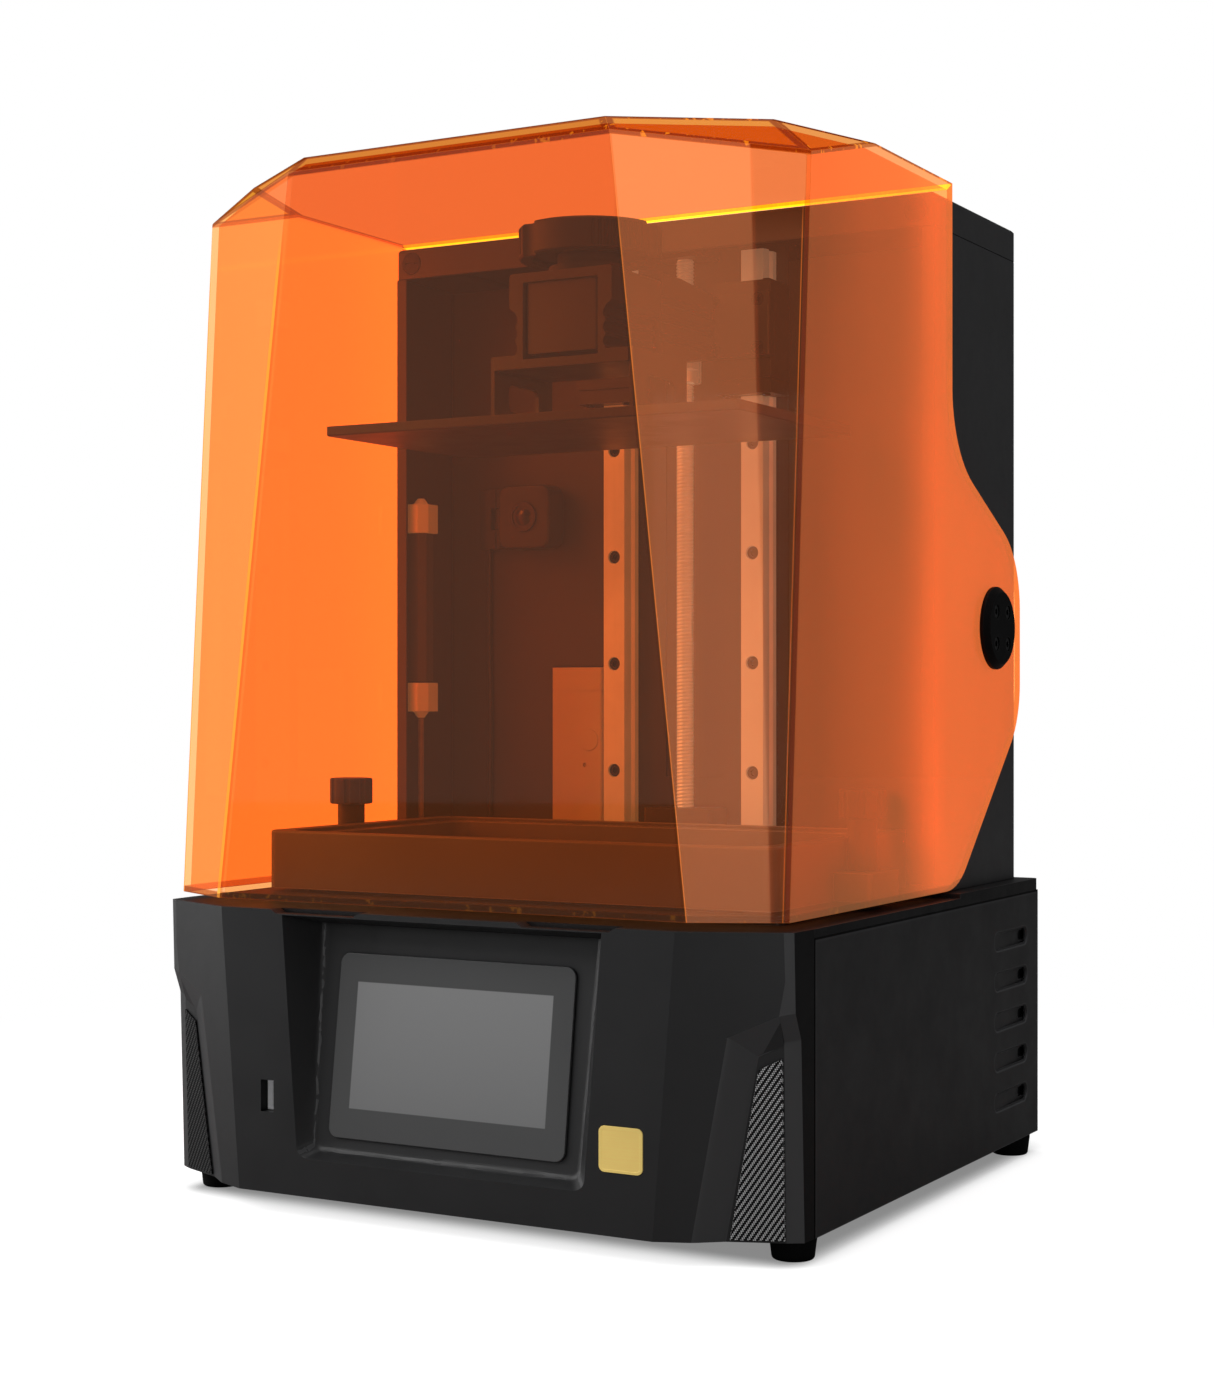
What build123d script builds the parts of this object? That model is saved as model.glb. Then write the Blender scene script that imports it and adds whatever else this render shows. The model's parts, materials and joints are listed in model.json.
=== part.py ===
from build123d import *
import math
import os

# Desktop resin printer. Millimetres, +Z up, +X to the user's right, the front of the
# machine faces -Y. The origin is on the floor, under the centre of the footprint.
# Each function builds one piece, or one of a left and right pair.

# ---------------------------------------------------------------- driving dimensions
HALF_W = 174.0            # half width over the side panels and the hinge discs
FRONT_Y = -168.5          # front face of the lower fascia
REAR_Y = 168.9            # outer face of the rear panel
FOOT_Z = 11.0             # underside of the case, height of the rubber feet
SEAM_Z = 143.9            # top of the side panels
LEDGE_Z = 147.8           # lower deck level, under the rim of the cover
DECK_Z = 150.2            # raised deck level
SHEET = 2.0               # side and rear panel thickness

COVER_T = 3.0             # acrylic thickness
COVER_X = 169.0           # outer half width of the cover
COVER_Z0 = 151.5          # lower rim of the cover
COVER_Z1 = 511.6          # roof of the cover
HINGE_Y, HINGE_Z = 112.7, 286.6
HINGE_R = 22.0

COLUMN_X = 164.0          # column half width
COLUMN_Y0, COLUMN_Y1 = 39.2, 162.7
CAP_Z0, CAP_Z1 = 489.0, 505.9
WALL_Y = 93.0             # front face of the recessed back wall

RAIL_X = 43.1             # rail centre line
RAIL_W, RAIL_H = 15.0, 15.0
RAIL_Z0, RAIL_Z1 = 174.0, 494.0
RAIL_HOLE_Z0, RAIL_PITCH, RAIL_HOLES = 208.6, 60.0, 5
SCREW_Y, SCREW_R = 82.0, 5.0

PLATE_X, PLATE_Y0, PLATE_Y1 = 118.6, -92.0, 40.0
PLATE_Z0, PLATE_T = 384.5, 5.0
PLATE_TOP = PLATE_Z0 + PLATE_T
KNOB_Y, KNOB_Z0, KNOB_Z1, KNOB_R = -24.0, 475.0, 491.5, 37.0

VAT_X, VAT_Y0, VAT_Y1 = 144.0, -108.0, 56.0
VAT_Z0, VAT_Z1 = 152.0, 181.5
CAVITY_X, CAVITY_Y0, CAVITY_Y1 = 126.0, -98.0, 46.0
VAT_KNOB_X, VAT_KNOB_Y = 151.6, -23.0

SIDES = (-1, 1)           # left, right

# ---------------------------------------------------------------- helpers
ON_BASE = (Align.CENTER, Align.CENTER, Align.MIN)
AXES = {
    "x": (1, 0, 0), "y": (0, 1, 0), "z": (0, 0, 1),
    "-x": (-1, 0, 0), "-y": (0, -1, 0), "-z": (0, 0, -1),
}


def opposite(axis):
    return axis[1:] if axis.startswith("-") else "-" + axis


def outward(side):
    """Axis pointing away from the middle on the given side."""
    return "x" if side > 0 else "-x"


def polar(center, radius, degrees):
    """Point at a radius and angle around a 2D centre."""
    angle = math.radians(degrees)
    return center[0] + math.cos(angle) * radius, center[1] + math.sin(angle) * radius


def box(x0, x1, y0, y1, z0, z1):
    return Pos((x0 + x1) / 2, (y0 + y1) / 2, (z0 + z1) / 2) * Box(x1 - x0, y1 - y0, z1 - z0)


def box_pair(x0, x1, *rest):
    """A box on the right and its twin on the left, as a list."""
    return [box(-x1, -x0, *rest), box(x0, x1, *rest)]


def cyl(start, radius, height, axis="z", end_radius=None):
    """Cylinder, or cone if it has an end radius, from the start point along the axis."""
    plane = Plane(origin=start, z_dir=AXES[axis])
    if end_radius is None:
        return plane * Cylinder(radius, height, align=ON_BASE)
    return plane * Cone(radius, end_radius, height, align=ON_BASE)


def on_screw(z, radius, height):
    """Upright cylinder on the axis of the ball screw."""
    return cyl((0, SCREW_Y, z), radius, height)


def rounded_face(corners):
    """Closed face through (u, v) or (u, v, radius) corners."""
    ends, mids = [], []
    for i, corner in enumerate(corners):
        u, v = corner[:2]
        radius = corner[2] if len(corner) > 2 else 0.0
        if radius <= 0:
            ends.append(((u, v), (u, v)))
            mids.append(None)
            continue
        directions = []
        for other in (corners[i - 1], corners[(i + 1) % len(corners)]):
            du, dv = other[0] - u, other[1] - v
            length = math.hypot(du, dv)
            directions.append((du / length, dv / length))
        (back_u, back_v), (next_u, next_v) = directions
        cosine = back_u * next_u + back_v * next_v
        half = math.acos(max(-1, min(1, cosine))) / 2
        tangent = radius / math.tan(half)
        ends.append(((u + back_u * tangent, v + back_v * tangent),
                     (u + next_u * tangent, v + next_v * tangent)))
        mid_u, mid_v = back_u + next_u, back_v + next_v
        reach = (radius / math.sin(half) - radius) / math.hypot(mid_u, mid_v)
        mids.append((u + mid_u * reach, v + mid_v * reach))
    edges = []
    for i, (start, end) in enumerate(ends):
        if mids[i] is not None:
            edges.append(ThreePointArc(start, mids[i], end))
        following = ends[(i + 1) % len(ends)][0]
        if math.hypot(following[0] - end[0], following[1] - end[1]) > 1e-6:
            edges.append(Line(end, following))
    return make_face(Wire(edges))


def rect(u0, u1, v0, v1, radius):
    """Corners of a rectangle with equal corner radii."""
    return [(u0, v0, radius), (u1, v0, radius), (u1, v1, radius), (u0, v1, radius)]


def slot(u0, u1, v, half, radius=None):
    """Corners of a slot along u; its ends are nearly half round unless a radius is given."""
    return rect(u0, u1, v - half, v + half, half - 0.1 if radius is None else radius)


def plan(half_x, y0, y1, front_r, rear_r):
    """Plan outline centred on x = 0, with separate front and rear corner radii."""
    return [(-half_x, y0, front_r), (half_x, y0, front_r),
            (half_x, y1, rear_r), (-half_x, y1, rear_r)]


def prism(corners, plane, depth):
    """Extrude a rounded polygon drawn on a plane, along the plane's normal."""
    return extrude(plane * rounded_face(corners), amount=depth, dir=plane.z_dir)


def plane_xy(z):
    """Local u = X, v = Y, normal +Z."""
    return Plane(origin=(0, 0, z), x_dir=(1, 0, 0), z_dir=(0, 0, 1))


def plane_yz(x):
    """Local u = Y, v = Z, normal +X."""
    return Plane(origin=(x, 0, 0), x_dir=(0, 1, 0), z_dir=(1, 0, 0))


def plane_xz(y):
    """Local u = X, v = Z, normal -Y."""
    return Plane(origin=(0, y, 0), x_dir=(1, 0, 0), z_dir=(0, -1, 0))


def upright(x0, x1, y0, y1, z0, z1, radius):
    """Block with rounded vertical corners."""
    return prism(rect(x0, x1, y0, y1, radius), plane_xy(z0), z1 - z0)


def clip(shape, point, normal):
    """Cut away everything on the side of the plane that the normal points to."""
    return shape - Plane(origin=point, z_dir=normal) * Box(2400, 2400, 2400, align=ON_BASE)


def mirrored(shape):
    return mirror(shape, about=Plane.YZ)


def union(*shapes):
    result = shapes[0]
    for shape in shapes[1:]:
        result = result + shape
    return result


def socket_screw(seat, axis, head_r, head_h, shank_r, shank_l, socket_r):
    """Cap screw with a hexagon socket: seat is the centre of the bearing face under the
    head, and the shank runs from it along the axis."""
    direction = AXES[axis]
    screw = cyl(seat, head_r, head_h, opposite(axis)) + cyl(seat, shank_r, shank_l, axis)
    top = tuple(seat[i] - direction[i] * head_h for i in range(3))
    hexagon = Plane(origin=top, z_dir=direction) * RegularPolygon(socket_r, 6)
    return screw - extrude(hexagon, amount=head_h * 0.55, dir=direction)


# vectors as plain tuples
def unit(vector):
    length = math.hypot(*vector)
    return tuple(c / length for c in vector)


def negated(vector):
    return tuple(-c for c in vector)


def flip_x(vector):
    return (-vector[0], vector[1], vector[2])


def minus(end, start):
    return tuple(end[i] - start[i] for i in range(3))


def dot(a, b):
    return sum(a[i] * b[i] for i in range(3))


def cross(a, b):
    return (a[1] * b[2] - a[2] * b[1], a[2] * b[0] - a[0] * b[2], a[0] * b[1] - a[1] * b[0])


def set_back(point, normal, distance):
    """Point moved against the normal."""
    return tuple(point[i] - normal[i] * distance for i in range(3))


def clip_both(shape, point, normal):
    """Clip on the right and, mirrored, on the left."""
    return clip(clip(shape, point, normal), flip_x(point), flip_x(normal))


# ---------------------------------------------------------------- front fascia
# facets of the right front corner: a point on each and its outward normal
CHAMFER_POINT, CHAMFER_NORMAL = (125.1, FRONT_Y, 147.0), (0.3818, -0.9237, -0.0309)
CORNER_FACETS = (
    (CHAMFER_POINT, CHAMFER_NORMAL),
    ((173.0, -147.0, 130.0), (0.5097, -0.8599, -0.0283)),     # narrow corner strip
    ((HALF_W, -129.0, 80.0), (0.9985, -0.0555, 0.0)),         # short side return
)
FASCIA_T = 3.0            # wall thickness
RELIEF = 4.2              # depth of the relief in the lower corners
INSERT_T = 0.9


def onto_chamfer(point, drop=0.0):
    """Point moved squarely onto the chamfer facet, or onto the plane drop behind it."""
    normal = unit(CHAMFER_NORMAL)
    return set_back(point, normal, dot(normal, minus(point, CHAMFER_POINT)) + drop)


# corners of the relief: RIM on the outside of the case, FLOOR on its set-back faces
RIM_FOOT = onto_chamfer((130.6, -161.7, 12.0))
RIM_TOP = onto_chamfer((146.5, -158.1, 101.9))
RIM_STRIP = onto_chamfer((166.9, -150.0, 111.4))
RIM_SIDE = (173.0, -147.0, 113.9)
FLOOR_TOP = (155.2, -149.6, 87.0)
FLOOR_STRIP = onto_chamfer((166.9, -145.0, 97.8), RELIEF)
FLOOR_SIDE = (173.3, -141.2, 100.5)
FLOOR_FOOT = onto_chamfer((166.7, -142.3, 12.1), RELIEF)
OUTSIDE = (400.0, -500.0, 60.0)          # a point well clear of the right front corner

# touch screen plane, leaning back; its origin is at the foot of the tub floor
TILT = math.radians(7.4)
SCREEN_Y, SCREEN_Z = -162.0, 31.0
SCREEN = Plane(origin=(0, SCREEN_Y, SCREEN_Z), x_dir=(1, 0, 0),
               z_dir=(0, -math.cos(TILT), math.sin(TILT)))
DISPLAY_V = 52.6          # centre of the display, measured up the screen plane
DISPLAY_W, DISPLAY_H = 110.0, 64.0
BADGE_Y = FRONT_Y + 0.5


def fascia_body(offset, z0, z1, rear_y):
    """Fascia block with all its outer faces set in by offset."""
    body = box(-HALF_W + offset, HALF_W - offset, FRONT_Y + offset, rear_y, z0, z1)
    for point, normal in CORNER_FACETS:
        body = clip_both(body, set_back(point, normal, offset), normal)
    return body


def plane_through(p, q, r, outside=OUTSIDE):
    """Point and unit normal of the plane p, q, r, the normal turned towards outside."""
    normal = unit(cross(minus(q, p), minus(r, p)))
    if dot(normal, minus(outside, p)) < 0:
        normal = negated(normal)
    return p, normal


def corner_cut(offset):
    """What is cut from the lower right corner: everything outside the set-back facet and
    strip, up to the shallow ramps that lead down to them."""
    wall = plane_through(RIM_FOOT, RIM_TOP, FLOOR_TOP)
    ramp = plane_through(RIM_TOP, RIM_STRIP, FLOOR_STRIP)
    lean = plane_through(RIM_STRIP, RIM_SIDE, FLOOR_SIDE)
    strip = plane_through(FLOOR_STRIP, FLOOR_FOOT, FLOOR_SIDE)
    split_point, split_normal = plane_through(
        RIM_STRIP, FLOOR_STRIP, FLOOR_FOOT, (400.0, -145.0, 60.0))
    normal = unit(CHAMFER_NORMAL)
    facet_part = clip(box(100, 190, -190, -100, -20, 130),
                      set_back(CHAMFER_POINT, normal, RELIEF + offset), negated(normal))
    for point, normal in (wall, ramp):
        facet_part = clip(facet_part, set_back(point, normal, offset), negated(normal))
    facet_part = clip(facet_part, split_point, split_normal)
    strip_part = box(150, 190, -190, -100, -20, 130)
    for point, normal in (lean, strip):
        strip_part = clip(strip_part, set_back(point, normal, offset), negated(normal))
    strip_part = clip(strip_part, split_point, negated(split_normal))
    return facet_part + strip_part


def near(edge, start, end, tolerance):
    """True if the middle of the edge lies within tolerance of the line start to end."""
    middle = edge.center()
    along = minus(end, start)
    offset = cross(along, minus((middle.X, middle.Y, middle.Z), start))
    return math.hypot(*offset) / math.hypot(*along) < tolerance


def soften(shape, lines, radii):
    """Round the long edges on the given (start, end, tolerance) lines."""
    for radius in radii:
        found = [edge for edge in shape.edges()
                 if edge.length > 6.0 and any(near(edge, *line) for line in lines)]
        # the larger radii may not fit, so the first one that can be built is kept
        try:
            return fillet(found, radius)
        except Exception:
            continue
    return shape


def fascia_outside():
    half = fascia_body(0.0, FOOT_Z, LEDGE_Z, -129.0) & box(0, 200, -200, -100, 0, 200)
    half = half - corner_cut(0.0)
    for line in ((RIM_FOOT, RIM_TOP, 1.5), (RIM_TOP, RIM_STRIP, 1.5)):
        half = soften(half, [line], (14.0, 9.0, 6.0, 4.0, 2.0))
    floor_lines = [((139.7, -153.4, 11.3), FLOOR_TOP, 2.5), (FLOOR_TOP, FLOOR_STRIP, 2.5)]
    half = soften(half, floor_lines, (4.5, 3.0))
    return half + mirrored(half)


def screen_recess():
    """Tapered hollow in front of the touch screen."""
    mouth_y = FRONT_Y - 0.6
    mouth = Face(Wire.make_polygon([(-79.8, mouth_y, 29.0), (79.8, mouth_y, 29.0),
                                    (88.7, mouth_y, 145.4), (-88.7, mouth_y, 145.4)], close=True))
    floor = SCREEN * make_face(Wire.make_polygon(
        [(-73.0, 2.0, 0), (73.0, 2.0, 0), (77.5, 110.2, 0), (-77.5, 110.2, 0)], close=True))
    recess = loft([mouth, floor], ruled=True)
    # the two slanting edges at the lower corners
    recess = fillet(recess.edges().filter_by(
        lambda edge: abs(edge.center().Z - SCREEN_Z) < 7 and edge.length < 14
        and abs(edge.center().X) > 60), 7.5)

    def on_floor(edge):
        middle = edge.center()
        depth = ((middle.Y - SCREEN_Y) * math.cos(TILT)
                 - (middle.Z - SCREEN_Z) * math.sin(TILT))
        return abs(depth) < 0.3 and middle.Z < 120.0

    floor_edges = recess.edges().filter_by(on_floor)
    for radius in (5.0, 4.0, 3.0, 2.0):
        # the larger radii may not fit, so the first one that can be built is kept
        try:
            return fillet(floor_edges, radius)
        except Exception:
            continue
    return recess


def badge_outline(inset, radius):
    return rect(86.9 + inset, 109.5 - inset, 39.2 + inset, 60.3 - inset, radius)


def front_fascia():
    inside = fascia_body(FASCIA_T, FOOT_Z + FASCIA_T, LEDGE_Z - 2.6, -120.0)
    cut = corner_cut(FASCIA_T)
    inside = inside - cut - mirrored(cut)
    # leaning tub behind the touch screen
    tub = box(-92, 92, FRONT_Y + 1.0, -141.5, 14.0, 146.4)
    tub = clip(tub, SCREEN.origin - SCREEN.z_dir * FASCIA_T, SCREEN.z_dir * -1)
    shell = fascia_outside() - (inside - tub)
    shell = shell - screen_recess()
    # display window, framed slot for the memory port, badge recess
    shell = shell - SCREEN * Pos(0, DISPLAY_V, 0) * Box(DISPLAY_W + 2, DISPLAY_H + 2, 14.0)
    shell = shell + box(-103.0, -91.6, -166.6, -159.5, 47.8, 67.2)
    shell = shell - box(-101.0, -93.3, -175, -150, 49.8, 65.2)
    shell = shell - prism(badge_outline(0, 3.0), plane_xz(BADGE_Y), 3.0)
    # finger grips under the front rim of the cover
    for side in SIDES:
        grip = [(side * 42, LEDGE_Z + 1), (side * 47, LEDGE_Z - 2.0),
                (side * 92, LEDGE_Z - 2.0), (side * 97, LEDGE_Z + 1)]
        shell = shell - prism(grip, plane_xz(-160.0), 20.0)
    return shell


def carbon_inserts():
    """Thin twill sheets on the set-back corner facets."""
    trims = (                # point, direction cut away
        (set_back(CHAMFER_POINT, CHAMFER_NORMAL, RELIEF), negated(CHAMFER_NORMAL)),
        (set_back(CHAMFER_POINT, CHAMFER_NORMAL, RELIEF - INSERT_T), CHAMFER_NORMAL),
        ((166.4, -145.0, 50), (1, 0.0, 0)),
        ((156.1, -149.8, 84.1), (-0.985, 0.0, 0.165)),
        ((157.3, -149.4, 87.6), (-0.45, 0.0, 0.89)),
        ((156.4, -149.6, 86.0), (-0.93, 0.0, 0.36)),
    )
    insert = box(120, 180, -180, -130, 12.0, 96.0)
    for point, normal in trims:
        insert = clip(insert, point, normal)
    return insert + mirrored(insert)


def touch_glass():
    return prism(rect(-65.5, 65.5, DISPLAY_V - 44.0, DISPLAY_V + 44.0, 5), SCREEN, 1.6)


def touch_display():
    panel = SCREEN * Pos(0, DISPLAY_V, -3.6) * Box(DISPLAY_W, DISPLAY_H, 7.0)
    return panel + SCREEN * Pos(0, DISPLAY_V, -7.0) * Box(96.0, 52.0, 6.0)


def usb_port():
    """Folded metal shell with a contact tongue."""
    port = box(-100.8, -93.5, -163.4, -148.0, 50.0, 65.0)
    port = port - box(-100.3, -94.0, -170, -149.0, 50.5, 64.5)
    return port + box(-99.0, -97.1, -162.4, -148.5, 51.8, 63.2)


def badge_plate():
    """Blank plate with a raised border."""
    plate = prism(badge_outline(0.3, 2.8), plane_xz(BADGE_Y), 0.9)
    return plate - prism(badge_outline(1.5, 2.0), plane_xz(FRONT_Y - 0.25), 1.0)


# ---------------------------------------------------------------- case panels
LOUVRES, LOUVRE_TOP_Z, LOUVRE_PITCH = 5, 120.65, 21.2
TRAY_X, TRAY_Y0, TRAY_Y1 = 171.8, -127.5, 166.6
TRAY_T, TRAY_RIM_T, TRAY_RIM_Z = 2.0, 1.5, 26.0
FEET = [(161, -123), (-161, -123), (163, 154), (-163, 154)]
FOOT_R, FOOT_RIM = 10.8, 1.5
INLET_X0, INLET_X1, INLET_Z0, INLET_Z1 = -146.0, -98.0, 62.0, 90.0    # hole in rear panel
EXHAUST_X, EXHAUST_Z = 118.0, 84.0


def side_panel():
    """Right-hand sheet with five pressed louvres: pockets whose floor sinks towards the
    rear, where they are open."""
    inner_x = HALF_W - SHEET
    step_x = HALF_W - 1.0
    panel = box(inner_x, HALF_W, -128.6, 168.4, FOOT_Z, SEAM_Z)
    louvre_zs = [LOUVRE_TOP_Z - LOUVRE_PITCH * i for i in range(LOUVRES)]
    for z in louvre_zs:
        panel = panel + prism(slot(97.0, 154.0, z, 6.9, 6.5), plane_yz(168.6), inner_x - 168.6)
    for z in louvre_zs:
        narrow = slot(100.9, 150.6, z, 4.0)
        mouth = plane_yz(HALF_W + 0.1) * rounded_face(slot(99.6, 151.4, z, 5.3))
        panel = panel - loft([mouth, plane_yz(step_x) * rounded_face(narrow)], ruled=True)
        deep = prism(narrow, plane_yz(165.0), 10.0)
        panel = panel - clip(deep, (step_x, 101.0, 0), (-0.9994, -0.0346, 0.0))
        panel = panel - prism(slot(142.0, 160.0, z, 2.6), plane_yz(169.6), 2.6)
    return panel


def base_tray():
    top = FOOT_Z + TRAY_T
    tray = union(
        box(-TRAY_X, TRAY_X, TRAY_Y0, TRAY_Y1, FOOT_Z, top),
        *box_pair(TRAY_X - TRAY_RIM_T, TRAY_X, TRAY_Y0, TRAY_Y1, top, TRAY_RIM_Z),
        box(-TRAY_X, TRAY_X, TRAY_Y1 - TRAY_RIM_T, TRAY_Y1, top, TRAY_RIM_Z))
    for i in range(13):                      # intake slots under the light engine
        x = -48 + i * 8
        tray = tray - box(x - 2, x + 2, -60, 10, 10, 14)
    return tray


def rubber_foot(x, y):
    foot = cyl((x, y, 0), 9.6, FOOT_Z - FOOT_RIM, "z", FOOT_R)
    foot = foot + cyl((x, y, FOOT_Z - FOOT_RIM), FOOT_R, FOOT_RIM)
    foot = foot - cyl((x, y, 0), 3.6, 4.0)
    return chamfer(foot.edges().filter_by(GeomType.CIRCLE).filter_by(
        lambda edge: abs(edge.center().Z) < 0.01 and edge.radius > 8), 0.8)


def rear_panel():
    half_x = HALF_W - SHEET - 0.1
    panel = box(-half_x, half_x, REAR_Y - SHEET, REAR_Y, FOOT_Z, SEAM_Z)
    panel = panel - box(INLET_X0, INLET_X1, 160, 175, INLET_Z0, INLET_Z1)
    for i in range(-3, 4):                   # round exhaust grille
        rise = i * 8.0
        half = math.sqrt(29.0 ** 2 - rise ** 2)
        opening = slot(EXHAUST_X - half, EXHAUST_X + half, EXHAUST_Z + rise, 2.4)
        panel = panel - prism(opening, plane_xz(172.0), 8.0)
    for i in range(9):                       # row of upright vents
        x = -40 + i * 10
        panel = panel - prism(rect(x - 2.0, x + 2.0, 96, 124, 1.9), plane_xz(172.0), 8.0)
    return panel


# ---------------------------------------------------------------- deck
MODULE_X, MODULE_Y0, MODULE_Y1 = 118.0, -94.0, 42.0      # exposure display module
MODULE_GAP = 0.2


def deck_plate():
    raised = DECK_Z - LEDGE_Z
    deck = prism(plan(HALF_W, -128.5, 168.6, 0, 3), plane_xy(SEAM_Z), LEDGE_Z - SEAM_Z)
    deck = deck + prism(plan(HALF_W, 50.0, 168.6, 0, 3), plane_xy(LEDGE_Z), raised)
    deck = deck + prism(plan(156, -124.0, 55.0, 6, 0), plane_xy(LEDGE_Z), raised)
    front_rise = [(-58, LEDGE_Z), (58, LEDGE_Z), (40, 151.3), (-40, 151.3)]
    deck = deck + prism(front_rise, plane_xz(-124.5), 3.6)
    deck = deck - box(-MODULE_X - MODULE_GAP, MODULE_X + MODULE_GAP,
                      MODULE_Y0 - MODULE_GAP, MODULE_Y1 + MODULE_GAP, 140, 155)
    deck = deck - on_screw(140, 12.0, 15)
    for side in SIDES:                       # bored posts for the vat screws
        deck = deck + cyl((side * VAT_KNOB_X, VAT_KNOB_Y, 136.0), 6.5, 10.0)
        deck = deck - cyl((side * VAT_KNOB_X, VAT_KNOB_Y, 134.0), 3.1, 20.0)
    return deck


def exposure_screen():
    """Cover glass over a narrower display module."""
    glass = box(-124, 124, -98.5, 46.5, DECK_Z, 151.9)
    return glass + box(-MODULE_X, MODULE_X, MODULE_Y0, MODULE_Y1, 146.4, DECK_Z)


# ---------------------------------------------------------------- light engine
ENGINE_Y = -26.0
SINK_X, SINK_Y = 84.0, 50.0              # half sizes of the heat sink
LED_Z0, LED_Z1 = 68.0, 70.0              # LED board
FUNNEL_T = 2.5
FAN_DEPTH = 15.0
# centre, size and axis of the two fans
ENGINE_FAN = ((0.0, ENGINE_Y, 34.0), 80.0, (0, 0, -1))
EXHAUST_FAN = ((EXHAUST_X, 150.4, EXHAUST_Z), 60.0, (0, 1, 0))


def engine_box(half_x, half_y, z0, z1):
    return box(-half_x, half_x, ENGINE_Y - half_y, ENGINE_Y + half_y, z0, z1)


def funnel(z0, z1, inset):
    """Rectangular funnel, its sides set in by inset."""
    faces = []
    for z, half_x, half_y in ((z0, SINK_X - inset, SINK_Y - inset), (z1, 116 - inset, 66 - inset)):
        wire = Wire.make_polygon([(-half_x, -half_y, 0), (half_x, -half_y, 0),
                                  (half_x, half_y, 0), (-half_x, half_y, 0)], close=True)
        faces.append(Plane(origin=(0, ENGINE_Y, z)) * make_face(wire))
    return loft(faces, ruled=True)


def uv_housing():
    housing = funnel(72, 140, 0) + engine_box(117.5, 67.5, 140, 143.6)
    return housing - funnel(71.9, 144, FUNNEL_T)


def uv_led_board():
    board = engine_box(82, 48, LED_Z0, LED_Z1)
    for i in range(9):
        for j in range(5):
            x, y = -64 + 16 * i, ENGINE_Y - 34 + 17 * j
            board = board + box(x - 2.6, x + 2.6, y - 2.6, y + 2.6, LED_Z1, LED_Z1 + 1.4)
    return board


def heat_sink():
    sink = engine_box(SINK_X, SINK_Y, 62.0, LED_Z0)
    for i in range(21):
        x = -80 + 8 * i
        sink = sink + box(x - 1.1, x + 1.1, ENGINE_Y - SINK_Y, ENGINE_Y + SINK_Y, 36.0, 62.0)
    return sink


def fan_frame(center, size, axis):
    """Square frame with a round duct, four spokes and a hub with a post."""
    plane = Plane(origin=center, z_dir=axis)
    half = size / 2
    frame = prism(rect(-half, half, -half, half, 4), plane, FAN_DEPTH)
    frame = frame - plane * Cylinder(half - 2.0, FAN_DEPTH * 3)
    hub = plane * Cylinder(9.0, 2.0, align=ON_BASE)
    for k in range(4):
        turn = 45 + 90 * k
        u, v = polar((0, 0), half / 2, turn)
        hub = hub + plane * Pos(u, v, 1.0) * Rot(0, 0, turn) * Box(half, 3.0, 2.0)
    hub = hub & (plane * Cylinder(half - 1.5, 2.0, align=ON_BASE))
    hub = hub + plane * Pos(0, 0, 2.0) * Cylinder(1.5, FAN_DEPTH - 4.0, align=ON_BASE)
    frame = frame + hub
    hole = half - 4.4
    for u in (-hole, hole):
        for v in (-hole, hole):
            frame = frame - plane * Pos(u, v, 0) * Cylinder(1.9, FAN_DEPTH * 3)
    return frame


def fan_rotor(center, size, axis):
    """Bored hub on the frame's post, with seven pitched blades."""
    plane = Plane(origin=center, z_dir=axis)
    half = size / 2
    rotor = plane * Pos(0, 0, 3.0) * Cylinder(9.5, FAN_DEPTH - 4.0, align=ON_BASE)
    blade_at = Pos((half - 3.2) / 2 + 3.4, 0, FAN_DEPTH / 2 + 1.0)
    for k in range(7):
        blade = Box(half - 10.0, 1.3, FAN_DEPTH * 0.62)
        rotor = rotor + plane * Rot(0, 0, k * 360 / 7) * blade_at * Rot(32, 0, 0) * blade
    envelope = Cylinder(half - 3.0, FAN_DEPTH - 3.2, align=ON_BASE)
    rotor = rotor & (plane * Pos(0, 0, 2.6) * envelope)
    return rotor - plane * Cylinder(1.55, FAN_DEPTH * 3)


# ---------------------------------------------------------------- electronics
BOARD_Z0, BOARD_Z1 = 18.0, 19.6
BOARD_BLOCKS = (          # x0, x1, y0, y1, top z
    (70, 100, 20, 50, 27), (110, 150, 30, 64, 24), (72, 84, 96, 126, 31),
    (92, 104, 96, 126, 31), (120, 158, 84, 120, 26),
)
ROCKER_Y, ROCKER_Z = 158.4, 76.0         # pivot of the mains rocker
WELL_X0, WELL_X1 = -117.2, -102.8        # well of the rocker
TRUNNION_R, TRUNNION_L = 1.5, 1.6


def power_supply():
    supply = box(-163, -97, 10, 140, 14.5, 52.5)
    for i in range(12):
        x = -157 + i * 5
        supply = supply - box(x - 1.2, x + 1.2, 20, 60, 51.0, 54)
    return supply


def mainboard():
    board = box(62, 164, 10, 130, BOARD_Z0, BOARD_Z1)
    for x0, x1, y0, y1, top in BOARD_BLOCKS:
        board = board + box(x0, x1, y0, y1, BOARD_Z1, top)
    for x, y in ((66, 14), (160, 14), (66, 126), (160, 126)):
        board = board + cyl((x, y, 13.0), 3.0, BOARD_Z0 - 13.0)
    return board


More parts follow.
